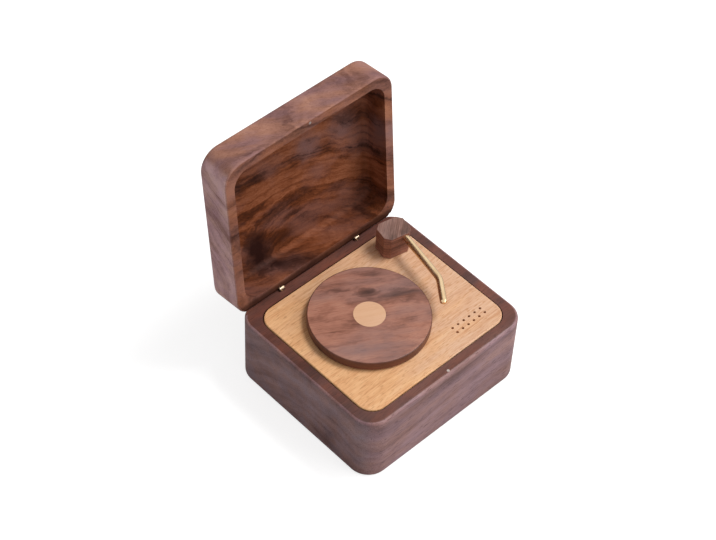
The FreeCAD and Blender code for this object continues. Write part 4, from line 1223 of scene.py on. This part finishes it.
def screw_tree(sizes: Iterable[str]) -> Tree:
    """Build the node tree that puts a slotted screw on each point.

    Args:
        sizes: The names of the tree's inputs that are lengths.

    Returns:
        The tree, the same one at each call.
    """
    if "slotted_screws" in bpy.data.node_groups:
        return bpy.data.node_groups["slotted_screws"]
    tree = bpy.data.node_groups.new("slotted_screws", "GeometryNodeTree")
    face = tree.interface
    face.new_socket("Geometry", in_out="INPUT", socket_type="NodeSocketGeometry")
    for name in sizes:
        face.new_socket(name, in_out="INPUT", socket_type="NodeSocketFloat")
    seed = face.new_socket("Seed", in_out="INPUT", socket_type="NodeSocketInt")
    seed.default_value = SCREW_SEED
    face.new_socket("Finish", in_out="INPUT", socket_type="NodeSocketMaterial")
    face.new_socket("Geometry", in_out="OUTPUT", socket_type="NodeSocketGeometry")
    given = add(tree, "NodeGroupInput").outputs
    radius, chamfer, width = given["Head Radius"], given["Chamfer"], given["Slot Width"]

    # The head's chamfered rim, its cheek and the shank, one above the other.
    cheek = add(tree, MATH, {0: given["Head Height"], 1: chamfer}, operation="SUBTRACT").outputs[0]
    shank = add(tree, MATH, {0: given["Length"], 1: chamfer}, operation="SUBTRACT").outputs[0]
    middle = {0: shank, 1: 0.5, 2: chamfer}
    middle = add(tree, MATH, middle, operation="MULTIPLY_ADD").outputs[0]
    rims = {"Radius Top": radius, "Radius Bottom": given["Rim Radius"], "Depth": chamfer}
    cheeks = {"Radius Top": given["Neck Radius"], "Radius Bottom": radius, "Depth": cheek}
    shanks = {"Radius": given["Shank Radius"], "Depth": shank}
    whole = add(tree, BOOLEAN, operation="UNION", solver="EXACT")
    for kind, sides, sizes, height in (
        (CONE, HEAD_SIDES, rims, 0.0),
        (CONE, HEAD_SIDES, cheeks, chamfer),
        (CYLINDER, SHANK_SIDES, shanks, middle),
    ):
        solid = add(tree, kind, {"Vertices": sides, **sizes}).outputs[0]
        raised = {"Geometry": solid, "Translation": add(tree, JOIN, {2: height}).outputs[0]}
        solid = add(tree, "GeometryNodeTransform", raised).outputs[0]
        tree.links.new(solid, whole.inputs["Mesh 2"])

    span = add(tree, MATH, {0: radius, 1: CUTTER_LENGTH}, operation="MULTIPLY").outputs[0]
    deep = {0: given["Slot Depth"], 1: CUTTER_DEPTH}
    deep = add(tree, MATH, deep, operation="MULTIPLY").outputs[0]
    cut = {"Mesh 1": whole.outputs[0]}
    slotted = add(tree, BOOLEAN, cut, operation="DIFFERENCE", solver="EXACT")
    for long, wide in ((span, width), (width, span)):
        size = add(tree, JOIN, {0: long, 1: wide, 2: deep}).outputs[0]
        cutter = add(tree, "GeometryNodeMeshCube", {"Size": size}).outputs[0]
        tree.links.new(cutter, slotted.inputs["Mesh 2"])

    # Each screw has stopped at its own angle.
    angles = {"Min": (0.0, 0.0, 0.0), "Max": (0.0, 0.0, math.pi), "Seed": given["Seed"]}
    turned = add(tree, "FunctionNodeRandomValue", angles, data_type="FLOAT_VECTOR").outputs[0]
    driven = {"Points": given["Geometry"], "Instance": slotted.outputs[0], "Rotation": turned}
    placed = add(tree, "GeometryNodeInstanceOnPoints", driven).outputs[0]
    real = add(tree, "GeometryNodeRealizeInstances", {0: placed}).outputs[0]
    finished = {"Geometry": real, "Material": given["Finish"]}
    add(tree, "NodeGroupOutput", {0: add(tree, "GeometryNodeSetMaterial", finished).outputs[0]})
    return tree


SIDES = ("left", "right")


@dataclass
class Movement:
    """The hinges, the hub and everything that hangs under the deck.

    Attributes:
        finishes: Each finish with the CAD nodes that have it.
        steel: The finish of the screws and the turned steel parts.
        steel_parts: The CAD nodes of turned steel.
        screws: The slotted screws.
    """

    finishes: tuple[tuple[Metal | Moulding, tuple[str, ...]], ...] = (
        (
            Metal("satin_brass_hinge", "#c9b199", "#b0977c", Working.STAMPED),
            tuple(f"hinge_barrel_{leaf}_{side}" for leaf in ("base", "lid") for side in SIDES),
        ),
        (
            Metal("turned_brass", "#c9a868", "#a98a54", Working.TURNED),
            ("platter_hub", "arbor_bush", "cylinder_drum", "drum_end_caps", "cylinder_gear")
            + ("worm_wheel", "crown_wheel", "pivot_bush", "pivot_washer"),
        ),
        (Metal("ground_comb_steel", "#b9b9b8", "#9b9a98", Working.GROUND), ("comb",)),
        (Metal("blued_spring_steel", "#4a5568", "#3a3f4c", Working.GROUND), ("mainspring",)),
        (Metal("plated_stamped_steel", "#bdbcb8", "#a3a19c", Working.STAMPED), ("spring_housing",)),
        (Metal("cast_zinc_plate", "#9c9d9c", "#858685", Working.CAST), ("bedplate",)),
        (Moulding("moulded_nylon_fan", "#e4e1d4", "#f0eee5"), ("governor_fan",)),
    )
    steel: Metal = Metal("turned_steel", "#a9a9a7", "#8d8a86", Working.TURNED)
    steel_parts: tuple[str, ...] = (
        *(f"hinge_pin_{side}" for side in SIDES),
        *("winding_arbor", "arbor_clip", "ratchet_wheel", "click_pawl"),
        *("cylinder_shaft", "cylinder_pinion", "idler_shaft", "idler_pinion"),
        *("governor_worm", "governor_bracket"),
        *("arm_pivot_pin", "pivot_nut", "stop_lever"),
    )
    screws: tuple[Screws, ...] = (
        Screws("bedplate_screws", "case", Head.CHEESE, 1.1, 1.0),
        Screws("comb_screws", "case", Head.CHEESE, 1.2, 1.0),
        Screws("bracket_screw", "case", Head.CHEESE, 1.0, 0.75, slot=(0.4, 0.35)),
        Screws("hub_screws", "turntable", Head.COUNTERSUNK, 0.8, 0.8, (0.35, 0.3), 0.02, 3.0),
    )

    def dress(self) -> None:
        """Finish every metal part and the fan, and drive the screws."""
        for finish, nodes in self.finishes:
            dress(finish.build(), *nodes)
        steel = self.steel.build()
        dress(steel, *self.steel_parts)
        for screws in self.screws:
            screws.build(steel)


# ------------------------------------------------------------------ studio


@dataclass(frozen=True)
class Lamp:
    """A square soft lamp that faces the box.

    Attributes:
        name: Its name.
        place: Where it hangs, in metres.
        size: The length of its side, in metres.
        power: Its power, in watts.
    """

    name: str
    place: Triple
    size: float
    power: float

    def build(self) -> None:
        """Hang the lamp."""
        light = bpy.data.lights.new(self.name, "AREA")
        light.shape = "SQUARE"
        light.size = self.size
        light.energy = self.power
        lamp = bpy.data.objects.new(self.name, light)
        lamp.location = self.place
        lamp.rotation_euler = (-Vector(self.place)).to_track_quat("-Z", "Y").to_euler()
        bpy.context.scene.collection.objects.link(lamp)


@dataclass
class Studio:
    """A pale floor, soft light and the camera.

    Attributes:
        aim: The point about which the camera's place is measured, in millimetres.
        azimuth: The camera's turn round the box, in degrees.
        elevation: Its height above the horizon, in degrees.
        roll: Its lean to one side, in degrees.
        distance: Its distance along the line of sight, in millimetres.
        drift: How far the aim lies right of and below the picture's centre, in millimetres.
        focal: The focal length, in widths of the picture.
        sensor: The width of the sensor, in millimetres.
        clip_start: How near the camera sees, in metres.
        floor_size: The length of the floor's side, in metres.
        floor_colour: The floor's hex colour.
        floor_glow: How much whiter the camera sees the floor.
        ambient: The strength of the white room on the box.
        lamps: The lamps.
    """

    aim: Triple = (0.0, 0.0, 25.0)
    azimuth: float = -45.572
    elevation: float = 48.824
    roll: float = 3.156
    distance: float = 859.436
    drift: tuple[float, float] = (10.024, 27.576)
    focal: float = 1949.645 / PICTURE_WIDTH
    sensor: float = 36.0
    clip_start: float = 0.01
    floor_size: float = 6.0
    floor_colour: str = "#c4c4c4"
    floor_glow: float = 0.74
    ambient: float = 0.40
    lamps: tuple[Lamp, ...] = (
        Lamp("overhead_softbox", (0.50, -0.22, 1.10), 0.4, 8.4),
        Lamp("front_softbox", (0.55, -1.0, 0.55), 0.8, 6.0),
    )

    def build(self) -> None:
        """Set up the camera, the floor and the lights."""
        self.camera()
        self.floor()
        self.world()
        for lamp in self.lamps:
            lamp.build()
        bpy.context.scene.view_settings.view_transform = "Standard"

    def camera(self) -> None:
        """Place the camera."""
        angles = (self.azimuth, self.elevation, self.roll)
        turn, rise, lean = (math.radians(angle) for angle in angles)
        level = math.cos(rise)
        back = Vector((math.sin(turn) * level, -math.cos(turn) * level, math.sin(rise)))
        right = (-back).cross(Vector((0, 0, 1))).normalized()
        up = right.cross(-back)
        side = math.cos(lean) * right + math.sin(lean) * up
        top = math.cos(lean) * up - math.sin(lean) * right
        across, down = self.drift
        place = Vector(self.aim) - across * side + down * top + self.distance * back
        lens = bpy.data.cameras.new("camera")
        lens.sensor_width = self.sensor
        lens.lens = self.focal * self.sensor
        lens.clip_start = self.clip_start
        camera = bpy.data.objects.new("camera", lens)
        turned = Matrix((side, top, back)).transposed().to_4x4()
        camera.matrix_world = Matrix.Translation(place * MM) @ turned
        bpy.context.scene.collection.objects.link(camera)
        bpy.context.scene.camera = camera

    def floor(self) -> None:
        """Lay a pale floor that keeps the box's shadow."""
        half = self.floor_size / 2
        signs = ((-1, -1), (1, -1), (1, 1), (-1, 1))
        mesh = bpy.data.meshes.new("floor")
        mesh.from_pydata([(x * half, y * half, 0) for x, y in signs], [], [(0, 1, 2, 3)])
        floor = bpy.data.objects.new("floor", mesh)
        bpy.context.scene.collection.objects.link(floor)
        material = bpy.data.materials.new("pale_studio_floor")
        material.use_nodes = True
        tree = material.node_tree
        tree.nodes.clear()
        matt = add(tree, "ShaderNodeBsdfDiffuse", {"Color": self.floor_colour}).outputs[0]
        glow = add(tree, "ShaderNodeEmission", {"Strength": self.floor_glow}).outputs[0]
        both = add(tree, "ShaderNodeAddShader", {0: matt, 1: glow}).outputs[0]
        seen = add(tree, "ShaderNodeLightPath").outputs["Is Camera Ray"]
        chosen = add(tree, "ShaderNodeMixShader", {0: seen, 1: matt, 2: both})
        add(tree, "ShaderNodeOutputMaterial", {"Surface": chosen.outputs[0]})
        mesh.materials.append(material)

    def world(self) -> None:
        """Surround the box with an even white room."""
        world = bpy.data.worlds.new("studio")
        bpy.context.scene.world = world
        world.use_nodes = True
        tree = world.node_tree
        tree.nodes.clear()
        path = add(tree, "ShaderNodeLightPath").outputs
        seen = path["Is Camera Ray"]
        for other in ("Is Glossy Ray", "Is Transmission Ray"):
            seen = add(tree, MATH, {0: seen, 1: path[other]}, operation="MAXIMUM").outputs[0]
        strength = {"Value": seen, "To Min": self.ambient, "To Max": 1.0}
        strength = add(tree, RANGE, strength).outputs[0]
        white = add(tree, "ShaderNodeBackground", {"Color": "#ffffff", "Strength": strength})
        add(tree, "ShaderNodeOutputWorld", {"Surface": white.outputs[0]})


def main() -> None:
    """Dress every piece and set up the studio."""
    logging.basicConfig(level=logging.INFO, format="%(message)s")
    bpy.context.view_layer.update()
    for assembly in (Case(), Lid(), Turntable(), Tonearm(), Movement()):
        LOG.info("--- %s", type(assembly).__name__)
        assembly.dress()
    Studio().build()


if __name__ == "__main__":
    main()
